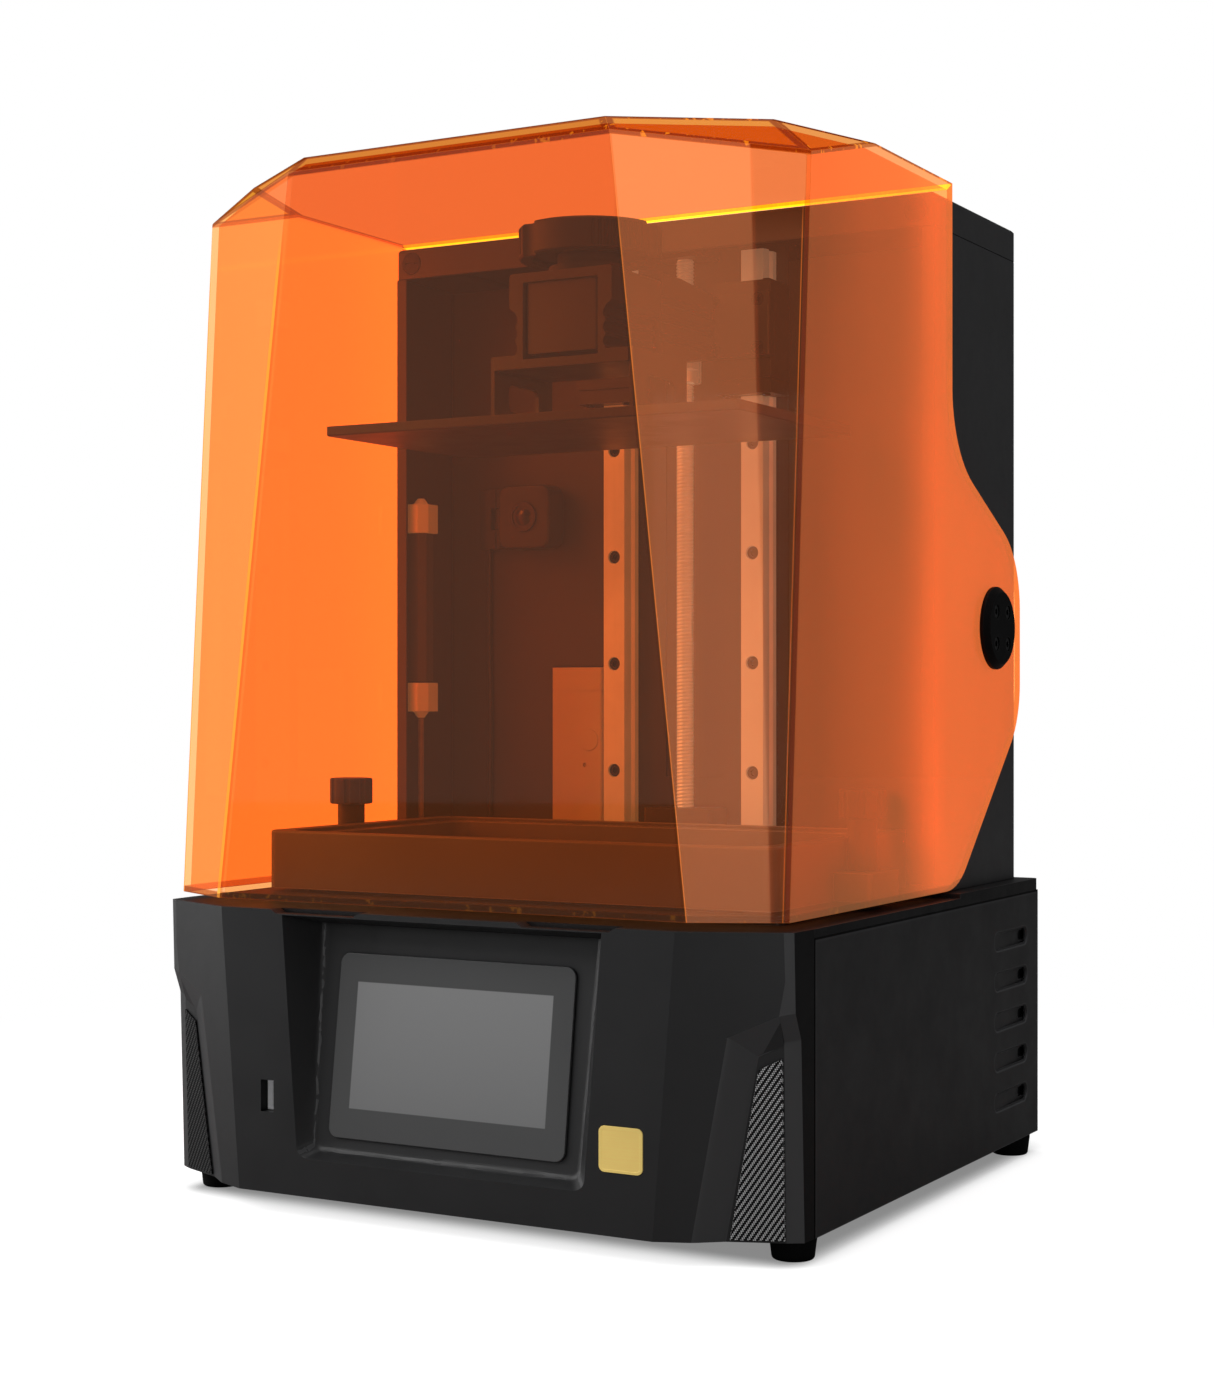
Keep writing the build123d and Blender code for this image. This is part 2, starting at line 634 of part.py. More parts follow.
def power_inlet():
    """Body with a pin well, and a cradle with two trunnions for the rocker."""
    gap = 0.2
    inlet = box(INLET_X0 + gap, INLET_X1 - gap, 140.0, REAR_Y, INLET_Z0 + gap, INLET_Z1 - gap)
    pin_well = [(-143, 65, 4), (-123, 65, 4), (-123, 87, 1), (-143, 87, 1)]
    inlet = inlet - prism(pin_well, plane_xz(172), 18.0)
    for x, z in ((-133.0, 81.0), (-138.0, 72.0), (-128.0, 72.0)):
        inlet = inlet + box(x - 1.0, x + 1.0, 153.0, 166.0, z - 2.4, z + 2.4)
    inlet = inlet - box(WELL_X0, WELL_X1, 150.0, 172.0, 66.0, 86.0)
    for x in (WELL_X0, WELL_X1 - TRUNNION_L):
        inlet = inlet + cyl((x, ROCKER_Y, ROCKER_Z), TRUNNION_R, TRUNNION_L, "x")
    return inlet


def power_rocker():
    profile = [(152.0, 70.0, 1), (168.4, 67.6, 1), (165.0, ROCKER_Z), (166.6, 83.6, 1),
               (152.0, 82.0, 1)]
    rocker = prism(profile, plane_yz(-117.0), 14.0)
    return rocker - cyl((-118.0, ROCKER_Y, ROCKER_Z), TRUNNION_R + 0.1, 16.0, "x")


# ---------------------------------------------------------------- column
SHELL_T = 2.5
SHELL_TOP = CAP_Z0 - 0.3
CAP_T = 2.8               # wall of the column cap
CAP_SCREW_X, CAP_SCREW_Z = 154.0, 497.6
BACKBONE_X, BACKBONE_T = 57.8, 12.0
RAIL_FRONT = WALL_Y - RAIL_H
RAIL_SCREW_SINK = 5.3     # depth of the rail counterbores
RAIL_HOLE_ZS = [RAIL_HOLE_Z0 + i * RAIL_PITCH for i in range(RAIL_HOLES)]


def access_window(inset, radius):
    """Outline of the rear access window, set in by inset."""
    return rect(-140 + inset, 140 - inset, 172 + inset, 470 - inset, radius)


def column_shell():
    """Open-fronted sheet channel with a recessed inner wall."""
    inner_x = COLUMN_X - SHELL_T
    height = SHELL_TOP - DECK_Z
    shell = prism(plan(COLUMN_X, COLUMN_Y0, COLUMN_Y1, 0, 6.0), plane_xy(DECK_Z), height)
    hollow = plan(inner_x, COLUMN_Y0 - 5, COLUMN_Y1 - SHELL_T, 0, 6.0 - SHELL_T)
    shell = shell - prism(hollow, plane_xy(DECK_Z - 1), height + 2)
    join_x = COLUMN_X - 2.4              # bites 0.1 into the wings
    shell = shell + box(-join_x, join_x, WALL_Y, WALL_Y + 1.6, DECK_Z, SHELL_TOP)
    # window for the backbone, then the purifier bay
    shell = shell - box(-58.0, 58.0, WALL_Y - 2, WALL_Y + 5, DECK_Z - 1, CAP_Z0 + 1)
    shell = shell - box(-91.7, -57.0, WALL_Y - 2, WALL_Y + 5, DECK_Z - 1, 267.1)
    # narrow return flanges along the front edges of the wings
    shell = union(shell, *box_pair(COLUMN_X - 6.5, join_x, COLUMN_Y0, COLUMN_Y0 + 1.6,
                                   DECK_Z, SHELL_TOP))
    for side in SIDES:
        start = (side * (COLUMN_X - 8), HINGE_Y, HINGE_Z)
        shell = shell - cyl(start, 9.0, 12.0, outward(side))
    return shell - prism(access_window(0, 6), plane_xz(175), 20.0)


def column_rear_cover():
    cover = prism(access_window(0.3, 5.8), plane_xz(COLUMN_Y1 + 0.2), 2.2)
    cover = cover + prism(access_window(-6, 6), plane_xz(COLUMN_Y1 + 1.6), 1.6)
    for i in range(11):
        cover = cover - prism(slot(-60, 60, 400 + i * 5.6, 1.3), plane_xz(170), 12.0)
    return cover


def column_cap():
    cap = prism(plan(COLUMN_X, COLUMN_Y0, COLUMN_Y1, 2, 6), plane_xy(CAP_Z0), CAP_Z1 - CAP_Z0)
    cap = chamfer(cap.faces().sort_by(Axis.Z)[-1].edges(), 1.2)
    hollow = plan(COLUMN_X - CAP_T, COLUMN_Y0 + CAP_T, COLUMN_Y1 - CAP_T, 1, 3)
    cap = cap - prism(hollow, plane_xy(CAP_Z0 - 1), CAP_Z1 - 3.0 - CAP_Z0 + 1)
    for radius, depth in ((6.2, 2.2), (2.1, 6)):
        for side in SIDES:
            start = (side * CAP_SCREW_X, COLUMN_Y0 - 1, CAP_SCREW_Z)
            cap = cap - cyl(start, radius, depth, "y")
    return cap


def column_backbone():
    """Rail carrier with a foot, two ribs behind, a head and a shallow front groove."""
    x, rear = BACKBONE_X, WALL_Y + BACKBONE_T
    bone = union(
        box(-x, x, WALL_Y, rear, DECK_Z, 486.0),
        box(-x, x, WALL_Y, WALL_Y + 40, DECK_Z, DECK_Z + 10),
        *box_pair(42.0, 50.0, WALL_Y + 10, WALL_Y + 38, DECK_Z + 8, 300),
        box(-x, x, WALL_Y, rear, 485, 499.0))
    return bone - box(-18, 18, WALL_Y - 1, WALL_Y + 1.0, 205, 470)


def linear_rail(center_x):
    """Size 15 profile rail: grooved flanks and counterbored holes."""
    half = RAIL_W / 2
    flank = [             # half width, y
        (half, WALL_Y), (half, WALL_Y - 4.0), (half - 1.6, WALL_Y - 5.6),
        (half - 1.6, WALL_Y - 7.6), (half, WALL_Y - 9.0), (half, RAIL_FRONT + 2.6),
        (half - 0.9, RAIL_FRONT),
    ]
    profile = [(center_x - u, y) for u, y in flank]
    profile += [(center_x + u, y) for u, y in reversed(flank)]
    rail = prism(profile, plane_xy(RAIL_Z0), RAIL_Z1 - RAIL_Z0)
    for z in RAIL_HOLE_ZS:
        start = (center_x, RAIL_FRONT - 1, z)
        rail = rail - cyl(start, 3.75, RAIL_SCREW_SINK + 1, "y") - cyl(start, 2.25, 20, "y")
    return rail


def fixed_screws():
    screws = []
    for side in SIDES:
        for z in RAIL_HOLE_ZS:
            seat = (side * RAIL_X, RAIL_FRONT + RAIL_SCREW_SINK, z)
            screws.append(socket_screw(seat, "y", head_r=3.5, head_h=4.0, shank_r=2.0,
                                       shank_l=9.6, socket_r=1.9))
    for side in SIDES:                       # slotted screws on the front of the cap
        x, z = side * CAP_SCREW_X, CAP_SCREW_Z
        head = cyl((x, COLUMN_Y0 - 0.2, z), 6.0, 1.2, "y")
        head = head - box(x - 4, x + 4, COLUMN_Y0 - 1, COLUMN_Y0 + 0.3, z - 0.5, z + 0.5)
        screws.append(head + cyl((x, COLUMN_Y0, z), 2.0, 2.8, "y"))
    return union(*screws)


# ---------------------------------------------------------------- Z drive
MOTOR_HALF, MOTOR_HOLE = 21.0, 15.5
SHAFT_R = 2.5
JOURNAL_R = 4.0           # screw ends that run in the bearings
SCREW_TAIL_R = 3.175      # screw end in the coupling
SCREW_STEPS = (           # z, radius, length
    (161.2, SCREW_TAIL_R, 14.0), (175.0, JOURNAL_R, 14.0),
    (189.0, SCREW_R, 303.0), (492.0, JOURNAL_R, 9.0),
)


def z_motor():
    motor = upright(-MOTOR_HALF, MOTOR_HALF, SCREW_Y - MOTOR_HALF, SCREW_Y + MOTOR_HALF,
                    95.9, SEAM_Z, 4.0)
    motor = motor + on_screw(SEAM_Z, 11.0, 2.0) - on_screw(90, SHAFT_R + 0.1, 60)
    for x in (-MOTOR_HOLE, MOTOR_HOLE):
        for dy in (-MOTOR_HOLE, MOTOR_HOLE):
            motor = motor - cyl((x, SCREW_Y + dy, SEAM_Z - 5), 1.5, 6)
    return motor


def screw_coupling():
    """Motor shaft, and a coupling slit from alternate sides."""
    shaft = on_screw(98.0, SHAFT_R, 62.0)
    coupling = on_screw(148.5, 9.5, 25.0)
    coupling = coupling - on_screw(148.5, SHAFT_R, 11.5) - on_screw(161.0, SCREW_TAIL_R, 13.0)
    for k in range(5):
        z = 155.0 + k * 2.6
        x0, x1 = (-12, -2) if k % 2 else (2, 12)       # side left uncut
        slit = box(-12, 12, SCREW_Y - 12, SCREW_Y + 12, z, z + 0.6) - on_screw(150, 6.4, 30)
        coupling = coupling - (slit - box(x0, x1, SCREW_Y - 12, SCREW_Y + 12, 150, 175))
    return Compound(children=[coupling.solid(), shaft.solid()])


def ball_screw():
    return union(*[on_screw(*step) for step in SCREW_STEPS])


def screw_bearings():
    bore = JOURNAL_R + 0.05
    lower = upright(-21, 21, SCREW_Y - 10.5, WALL_Y, 175.5, 188.5, 2.0) - on_screw(170, bore, 30)
    upper = upright(-16, 16, SCREW_Y - 10, WALL_Y, 492.5, 499.0, 2.0) - on_screw(480, bore, 30)
    return lower + upper


# ---------------------------------------------------------------- carriage
BLOCK_Z0, BLOCK_Z1 = 414.0, 475.0        # bearing block ends
CARRIAGE_Y0, CARRIAGE_Y1 = 58.0, 66.1    # carriage plate
CARRIAGE_SEAT_Y = 62.4                   # under the heads of the carriage screws


def block_screws(side):
    """(x, z) of the four screws in the bearing block on one side."""
    return [(side * RAIL_X + dx, 450 + dz) for dz in (-13, 13) for dx in (-13, 13)]


CARRIAGE_SCREWS = block_screws(-1) + block_screws(1)


def bearing_block(side):
    x = side * RAIL_X
    block = box(x - 17, x + 17, 66.2, 89.6, BLOCK_Z0 + 8, BLOCK_Z1 - 8)
    block = block + box(x - 16.4, x + 16.4, 67.2, 89.2, BLOCK_Z0, BLOCK_Z1)
    block = block - box(x - 8.0, x + 8.0, 77.4, 95, BLOCK_Z0 - 1, BLOCK_Z1 + 1)
    for hole_x, hole_z in block_screws(side):
        block = block - cyl((hole_x, 60, hole_z), 2.0, 14, "y")
    for z, axis in ((BLOCK_Z0, "-z"), (BLOCK_Z1, "z")):      # round studs on the ends
        for dx in (-11.5, 11.5):
            block = block + cyl((x + dx, 72.5, z), 2.2, 1.2, axis)
    return block


def carriage_plate():
    plate = upright(-63.0, 63.0, CARRIAGE_Y0, CARRIAGE_Y1, 433.0, 467.0, 1.5)
    for x, z in CARRIAGE_SCREWS:
        plate = plate - cyl((x, 55, z), 2.15, 14, "y")
        plate = plate - cyl((x, 56.0, z), 3.7, CARRIAGE_SEAT_Y - 56.0, "y")
    return plate


def ball_nut():
    """Flanged nut hung from a lug on the carriage plate."""
    flange = on_screw(460.0, 14.5, 6.0) & box(-14.5, 14.5, SCREW_Y - 11, SCREW_Y + 9.4, 455, 470)
    nut = on_screw(424.0, 9.0, 36.0) + flange
    nut = nut + box(-12, 12, CARRIAGE_Y1, SCREW_Y - 6, 430, 458)
    return nut - on_screw(400, SCREW_R + 0.08, 90)


def carriage_arm():
    """Cantilever arm with a squared tongue that enters the plate holder."""
    profile = [(CARRIAGE_Y0, 433.5), (CARRIAGE_Y0, 466.5), (20.0, 470.0), (-1.6, 470.0),
               (-1.6, 425.0), (14.0, 425.0)]
    arm = prism(profile, plane_yz(-30.0), 60.0)
    for i in range(3):                       # shallow flutes along the flanks
        for side in SIDES:
            arm = arm - cyl((side * 31.2, 60, 437.0 + i * 9.5), 2.6, 64.0, "-y")
    arm = arm + upright(-20.6, 20.6, -53.2, 0.0, 424.6, 461.0, 1.2)
    return arm - cyl((0, KNOB_Y, 440.0), 4.1, 40)


def carriage_screws():
    screws = [socket_screw((x, CARRIAGE_SEAT_Y, z), "y", head_r=3.5, head_h=4.0, shank_r=1.9,
                           shank_l=9.0, socket_r=1.8) for x, z in CARRIAGE_SCREWS]
    for side in SIDES:                       # plain heads on the ball nut flange
        screws.append(cyl((side * 11.0, SCREW_Y, 466.0), 2.7, 3.2))
    return union(*screws)


# ---------------------------------------------------------------- build platform
HOLDER_FOOT_Z = 424.4     # top of the holder's foot and of the mount's cheeks
MOUNT_X0, MOUNT_X1, MOUNT_FOOT_X = 39.5, 41.6, 53.5
MOUNT_T = 2.0
PLATE_SCREWS = [(side * 48.7, y) for side in SIDES for y in (-50.0, 0.0)]


def plate_holder():
    right = [             # x, z, corner radius
        (30, 466, 2), (30, 448.5, 1), (26.5, 446.0, 1),
        (26.5, HOLDER_FOOT_Z, 0), (39.4, HOLDER_FOOT_Z, 0), (39.4, 417.2, 1),
    ]
    left = [(-x, z, radius) for x, z, radius in reversed(right)]
    holder = prism(right + left, plane_xz(-2.0), 53.0)
    for side in SIDES:
        for i in range(3):                   # flutes along the flanks
            holder = holder - cyl((side * 28.3, 0, 442.4 - i * 7.2), 3.3, 60, "-y")
    holder = holder - upright(-21.8, 21.8, -60, 5, 422.0, 461.1, 1.0)
    # keyhole for the clamp stud, open to the rear
    return holder - cyl((0, KNOB_Y, 455), 4.4, 20) - box(-4.4, 4.4, KNOB_Y, 5, 455, 470)


def plate_mount():
    """Two cheeks with a window in each, and feet turned out on the plate."""
    mount = union(
        *box_pair(MOUNT_X0, MOUNT_X1, -54, 4, PLATE_TOP, HOLDER_FOOT_Z),
        *box_pair(MOUNT_X0, MOUNT_FOOT_X, -54, 4, PLATE_TOP, PLATE_TOP + MOUNT_T))
    for side in SIDES:
        mount = mount - prism(rect(-40, -10, 398.0, 412.0, 4), plane_yz(side * 40.5 - 3), 6.0)
    for x, y in PLATE_SCREWS:
        mount = mount - cyl((x, y, PLATE_TOP - 1), 2.2, 5)
    return mount


def build_plate():
    plate = upright(-PLATE_X, PLATE_X, PLATE_Y0, PLATE_Y1, PLATE_Z0, PLATE_TOP, 2.0)
    plate = chamfer(plate.faces().sort_by(Axis.Z)[0].edges(), 0.6)
    for x, y in PLATE_SCREWS:
        plate = plate - cyl((x, y, PLATE_TOP - 3.6), 2.05, 5)
    return plate


def plate_screws():
    """Four socket screws through the mount's feet, and two short pins between them."""
    screws = [socket_screw((x, y, PLATE_TOP + MOUNT_T), "-z", head_r=3.4, head_h=3.4,
                           shank_r=2.0, shank_l=5.0, socket_r=1.8) for x, y in PLATE_SCREWS]
    pins = [cyl((side * 34.0, -13.7, PLATE_TOP), 1.3, 6.0) for side in SIDES]
    return union(*screws, *pins)


def clamp_knob():
    """Three broad lobes, fluted on one half of each, on a collar and a stud."""
    center = (0, KNOB_Y)
    height = KNOB_Z1 - KNOB_Z0
    knob = cyl((*center, KNOB_Z0), KNOB_R, height)
    knob = chamfer(knob.edges().filter_by(GeomType.CIRCLE), 1.0)
    for k in range(3):
        notch = polar(center, KNOB_R + 3.0, -120 + 120 * k)
        knob = knob - cyl((*notch, KNOB_Z0 - 1), 7.0, 30)
    for k in range(3):
        for j in range(9):
            flute = polar(center, KNOB_R + 0.55, -60 + 120 * k + 2 + j * 5.2)
            knob = knob - cyl((*flute, KNOB_Z0 + 1.8), 1.25, height - 3.6)
    knob = knob - cyl((*center, KNOB_Z0 - 1), 30.0, 4.0)
    for z, radius, length in ((471.0, 17.0, 8.0), (466.05, 21.5, 5.2), (442.0, 4.0, 26.0)):
        knob = knob + cyl((*center, z), radius, length)
    return knob


# ---------------------------------------------------------------- resin vat
VAT_EAR_Z1 = 166.0


def vat_frame():
    frame = upright(-VAT_X, VAT_X, VAT_Y0, VAT_Y1, VAT_Z0, VAT_Z1, 6.0)
    frame = chamfer(frame.faces().sort_by(Axis.Z)[-1].edges(), 0.8)
    ear = upright(VAT_X - 4, 164.0, VAT_KNOB_Y - 18, VAT_KNOB_Y + 18, VAT_Z0, VAT_EAR_Z1, 3.0)
    frame = frame + mirrored(ear) + ear
    frame = frame - upright(-CAVITY_X, CAVITY_X, CAVITY_Y0, CAVITY_Y1, VAT_Z0 - 1, VAT_Z1 + 1, 8.0)
    # shallow step around the mouth
    frame = frame - upright(-CAVITY_X - 9, CAVITY_X + 9, CAVITY_Y0 - 6, CAVITY_Y1 + 6,
                            VAT_Z1 - 2.2, VAT_Z1 + 2.8, 12)
    for side in SIDES:
        frame = frame - cyl((side * VAT_KNOB_X, VAT_KNOB_Y, 150), 3.1, 20)
    return frame


def vat_film():
    gap = 0.05
    return upright(-CAVITY_X + gap, CAVITY_X - gap, CAVITY_Y0 + gap, CAVITY_Y1 - gap,
                   VAT_Z0, VAT_Z0 + 0.2, 8.0 - gap)


def vat_knob(side):
    center = (side * VAT_KNOB_X, VAT_KNOB_Y)
    knob = cyl((*center, 191.6), 11.6, 14.0)
    knob = chamfer(knob.edges().filter_by(GeomType.CIRCLE), 0.6)
    for k in range(8):
        knob = knob - cyl((*polar(center, 12.6, 22.5 + 45 * k), 190), 2.0, 20)
    return knob + cyl((*center, VAT_EAR_Z1), 7.3, 26.0) + cyl((*center, 140.0), 3.0, 27.0)


# ---------------------------------------------------------------- transparent cover
# faces: a point on each and its outward normal; those with an x component are mirrored
COVER_FACES = (
    ((0, -165.1, 152.0), (0.0, -1.0, 0.0071)),                    # front
    ((0, 0, COVER_Z1), (0.0, 0.0, 1.0)),                          # roof
    ((0, -157.0, COVER_Z1), (0.0, -0.809, 0.588)),                # front top bevel
    ((COVER_X, 0, 300.0), (1.0, 0.0, 0.0)),                       # side
    ((128.9, -165.1, 152.0), (0.4655, -0.8831, 0.0591)),          # front corner
    ((147.4, -114.3, COVER_Z1), (0.394, -0.588, 0.706)),          # top corner bevel
    ((147.4, -114.3, COVER_Z1), (0.593, -0.195, 0.780)),          # side top bevel
)
COVER_SIDE = [            # what is kept in side view: y, z, corner radius
    (-190, COVER_Z0), (60.2, COVER_Z0, 41.0), (153.5, 238.1, 43.6),
    (153.5, 326.0, 44.7), (51.9, 375.3, 52.0), (51.9, 520), (-190, 520),
]
HINGE_SCREWS = [polar((HINGE_Y, HINGE_Z), 12, 45 + 90 * k) for k in range(4)]    # y, z
HINGE_SEAT_X = 170.6      # under the heads of the hinge screws


def hinge_cyl(side, x, radius, height):
    """Cylinder on the hinge axis, running outward from x."""
    return cyl((side * x, HINGE_Y, HINGE_Z), radius, height, outward(side))


def cover_body(offset, rear_y, z0):
    """Block within the cover's faces, all of them set in by offset."""
    body = box(-200, 200, -200, rear_y, z0, 540)
    for point, direction in COVER_FACES:
        normal = unit(direction)
        trim = clip_both if abs(normal[0]) > 1e-6 else clip
        body = trim(body, set_back(point, normal, offset), normal)
    return body


def cover_shell():
    cover = cover_body(0.0, 165.0, COVER_Z0 - 5) - cover_body(COVER_T, 190.0, COVER_Z0 - 20)
    cover = cover & prism(COVER_SIDE, plane_yz(-200), 400)
    for side in SIDES:
        cover = cover - hinge_cyl(side, 160, 8.0, 14)
        for y, z in HINGE_SCREWS:
            cover = cover - cyl((side * 160, y, z), 2.1, 14, outward(side))
    return cover


def hinge_disc(side):
    disc = hinge_cyl(side, COVER_X, HINGE_R, HALF_W - COVER_X)
    rim = [edge for edge in disc.edges().filter_by(GeomType.CIRCLE)
           if abs(abs(edge.center().X) - HALF_W) < 0.01]
    disc = chamfer(rim, 3.0)
    disc = disc + hinge_cyl(side, 150.0, 6.0, 20) + hinge_cyl(side, 164.6, 7.9, 5)
    for y, z in HINGE_SCREWS:
        disc = disc - cyl((side * 160, y, z), 2.1, 20, outward(side))
        disc = disc - cyl((side * HINGE_SEAT_X, y, z), 3.7, 6, outward(side))
    return disc


def hinge_screws():
    return union(*[
        socket_screw((side * HINGE_SEAT_X, y, z), outward(-side), head_r=3.4, head_h=2.8,
                     shank_r=2.0, shank_l=4.4, socket_r=1.8)
        for side in SIDES for y, z in HINGE_SCREWS])


def hinge_damper(side):
    """Flanged barrel inside the wing of the column, bored for the hinge pin."""
    start, inward = (side * 161.4, HINGE_Y, HINGE_Z), outward(-side)
    damper = cyl(start, 13.0, 22.0, inward) + cyl(start, 17.0, 3.0, inward)
    return damper - cyl((side * 162.0, HINGE_Y, HINGE_Z), 6.06, 13.0, inward)


# ---------------------------------------------------------------- chamber fittings
BAR_Z0, BAR_Z1 = 259.0, 344.0            # light bar on the inner face of the left wing
BAR_CAP_H = 16.5
WING_X = -161.4
CAMERA_PIVOT = (-121.5, 84.0)            # x, y of the upright hinge pin
BRACKET_Z0, BRACKET_Z1 = 336.0, 370.5
LENS_X, LENS_Z, LENS_R = -100.4, 353.2, 8.5
PURIFIER_Y = 90.6         # front of the purifier, clear of the passing bearing blocks
BUTTON_X, BUTTON_Z = -66.7, 225.3


def light_bar():
    profile = [(WING_X, 46.0), (-154.0, 46.0, 1), (-150.6, 49.4, 1), (-150.6, 57.0, 1),
               (WING_X, 57.0)]
    return prism(profile, plane_xy(BAR_Z0), BAR_Z1 - BAR_Z0)


def light_bar_caps():
    """Upper and lower end caps, each with a conical tip."""
    profile = [(WING_X, 43.6), (-153.0, 43.6, 1), (-148.4, 48.2, 1), (-148.4, 58.6, 1),
               (WING_X, 58.6)]
    caps = []
    for z, tip_z, axis in ((BAR_Z1, BAR_Z1 + BAR_CAP_H, "z"), (241.5, 241.5, "-z")):
        cap = prism(profile, plane_xy(z), BAR_CAP_H)
        caps.append(cap + cyl((-155.4, 51.0, tip_z), 4.6, 3.6, axis, 2.0))
    return union(*caps)


def camera_bracket():
    """Wall pad, two hinge knuckles and the pin through them."""
    pivot_x = CAMERA_PIVOT[0]
    bracket = box(-139.0, -127.5, 88.5, WALL_Y, BRACKET_Z0, BRACKET_Z1)
    bracket = bracket + box(-131.0, -127.5, 82.0, 90.0, BRACKET_Z0, BRACKET_Z1)
    for z0, z1 in ((BRACKET_Z0, 346.8), (359.4, BRACKET_Z1)):
        bracket = bracket + box(-131.0, pivot_x, 82.0, 86.0, z0, z1)
        bracket = bracket + cyl((*CAMERA_PIVOT, z0), 3.6, z1 - z0)
    return bracket + cyl((*CAMERA_PIVOT, BRACKET_Z0), 1.5, BRACKET_Z1 - BRACKET_Z0)


def camera_body():
    camera = prism(rect(-117.6, -83.2, 335.0, 371.4, 6.5), plane_xz(90.0), 16.0)
    camera = fillet(camera.faces().sort_by(Axis.Y)[0].edges(), 1.5)
    camera = camera + box(CAMERA_PIVOT[0], -116.0, 82.6, 85.4, 347.4, 358.8)
    camera = camera + cyl((*CAMERA_PIVOT, 347.1), 3.6, 12.0)
    camera = camera - cyl((*CAMERA_PIVOT, 340), 1.56, 30)
    return camera - cyl((LENS_X, 73.0, LENS_Z), LENS_R + 0.1, 3.2, "y")


def camera_lens():
    """Ring with a domed lens set in it."""
    lens = cyl((LENS_X, 72.8, LENS_Z), LENS_R, 3.35, "y")
    lens = lens - cyl((LENS_X, 72.0, LENS_Z), 6.9, 1.6, "y")
    lens = lens + Pos(LENS_X, 80.5, LENS_Z) * Sphere(8.6)
    return lens & cyl((LENS_X, 71.0, LENS_Z), LENS_R, 5.15, "y")


def purifier_case():
    """Cartridge let into the back wall."""
    front = PURIFIER_Y
    case = upright(-91.4, -58.2, front, 118.0, DECK_Z, 266.8, 1.6)
    # seam groove around the lid
    core = box(-90.8, -58.8, front + 0.6, 117.4, 250, 256)
    case = case - (box(-95, -50, 80, 125, 253.0, 253.6) - core)
    # button recess, small hole below it, bore for the button stem
    case = case - cyl((BUTTON_X, front - 1, BUTTON_Z), 6.2, 4.2, "y")
    case = case - cyl((-69.4, front - 1, 210.9), 1.3, 3.0, "y")
    case = case - cyl((BUTTON_X, front, BUTTON_Z), 2.6, 8.0, "y")
    for i in range(6):                       # slots in the top
        y = front + 2.4 + i * 3.6
        case = case - box(-88.0, -62.0, y, y + 1.5, 262.5, 270)
    return case


def purifier_button():
    button = cyl((BUTTON_X, PURIFIER_Y - 0.4, BUTTON_Z), 6.1, 2.2, "y")
    return button + cyl((BUTTON_X, PURIFIER_Y + 1.0, BUTTON_Z), 2.5, 4.4, "y")


# ---------------------------------------------------------------- one file per piece
right_panel = side_panel()
parts = {
    "front_fascia": front_fascia(),
    "carbon_inserts": carbon_inserts(),
    "touch_glass": touch_glass(),
    "touch_display": touch_display(),
    "usb_port": usb_port(),
    "badge_plate": badge_plate(),
    "side_panel_right": right_panel,
    "side_panel_left": mirrored(right_panel),
    "base_tray": base_tray(),
    "rubber_feet": union(*[rubber_foot(x, y) for x, y in FEET]),
    "rear_panel": rear_panel(),
    "deck_plate": deck_plate(),
    "exposure_screen": exposure_screen(),
    "uv_housing": uv_housing(),
    "uv_led_board": uv_led_board(),
    "heat_sink": heat_sink(),
    "engine_fan_frame": fan_frame(*ENGINE_FAN),
    "engine_fan_rotor": fan_rotor(*ENGINE_FAN),
    "exhaust_fan_frame": fan_frame(*EXHAUST_FAN),
    "exhaust_fan_rotor": fan_rotor(*EXHAUST_FAN),
    "power_supply": power_supply(),
    "mainboard": mainboard(),
    "power_inlet": power_inlet(),
    "power_rocker": power_rocker(),
    "column_shell": column_shell(),
    "column_rear_cover": column_rear_cover(),
    "column_cap": column_cap(),
    "column_backbone": column_backbone(),
    "linear_rails": linear_rail(RAIL_X) + linear_rail(-RAIL_X),
    "fixed_screws": fixed_screws(),
    "z_motor": z_motor(),
    "screw_coupling": screw_coupling(),
    "ball_screw": ball_screw(),
    "screw_bearings": screw_bearings(),
    "bearing_blocks": bearing_block(-1) + bearing_block(1),
    "carriage_plate": carriage_plate(),
    "ball_nut": ball_nut(),
    "carriage_arm": carriage_arm(),
    "carriage_screws": carriage_screws(),
    "plate_holder": plate_holder(),
    "plate_mount": plate_mount(),
    "build_plate": build_plate(),
    "plate_screws": plate_screws(),
    "clamp_knob": clamp_knob(),
    "vat_frame": vat_frame(),
    "vat_film": vat_film(),
    "vat_knob_left": vat_knob(-1),
    "vat_knob_right": vat_knob(1),
    "cover_shell": cover_shell(),
    "hinge_disc_right": hinge_disc(1),
    "hinge_disc_left": hinge_disc(-1),
    "hinge_screws": hinge_screws(),
    "hinge_dampers": hinge_damper(-1) + hinge_damper(1),
    "light_bar": light_bar(),
    "light_bar_caps": light_bar_caps(),
    "camera_bracket": camera_bracket(),
    "camera_body": camera_body(),
    "camera_lens": camera_lens(),
    "purifier_case": purifier_case(),
    "purifier_button": purifier_button(),
}

os.makedirs("parts", exist_ok=True)
for name, shape in parts.items():
    solids = shape.solids()
    body = solids[0] if len(solids) == 1 else Compound(children=list(solids))
    body.label = name
    export_step(body, "parts/" + name + ".step")
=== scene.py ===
"""Looks for the resin printer: materials, floor, light, camera and the pieces CAD leaves plain.

Metres. The printer stands on z = 0, with its front towards -y and its right side towards +x.
"""
import json
import math
from types import SimpleNamespace

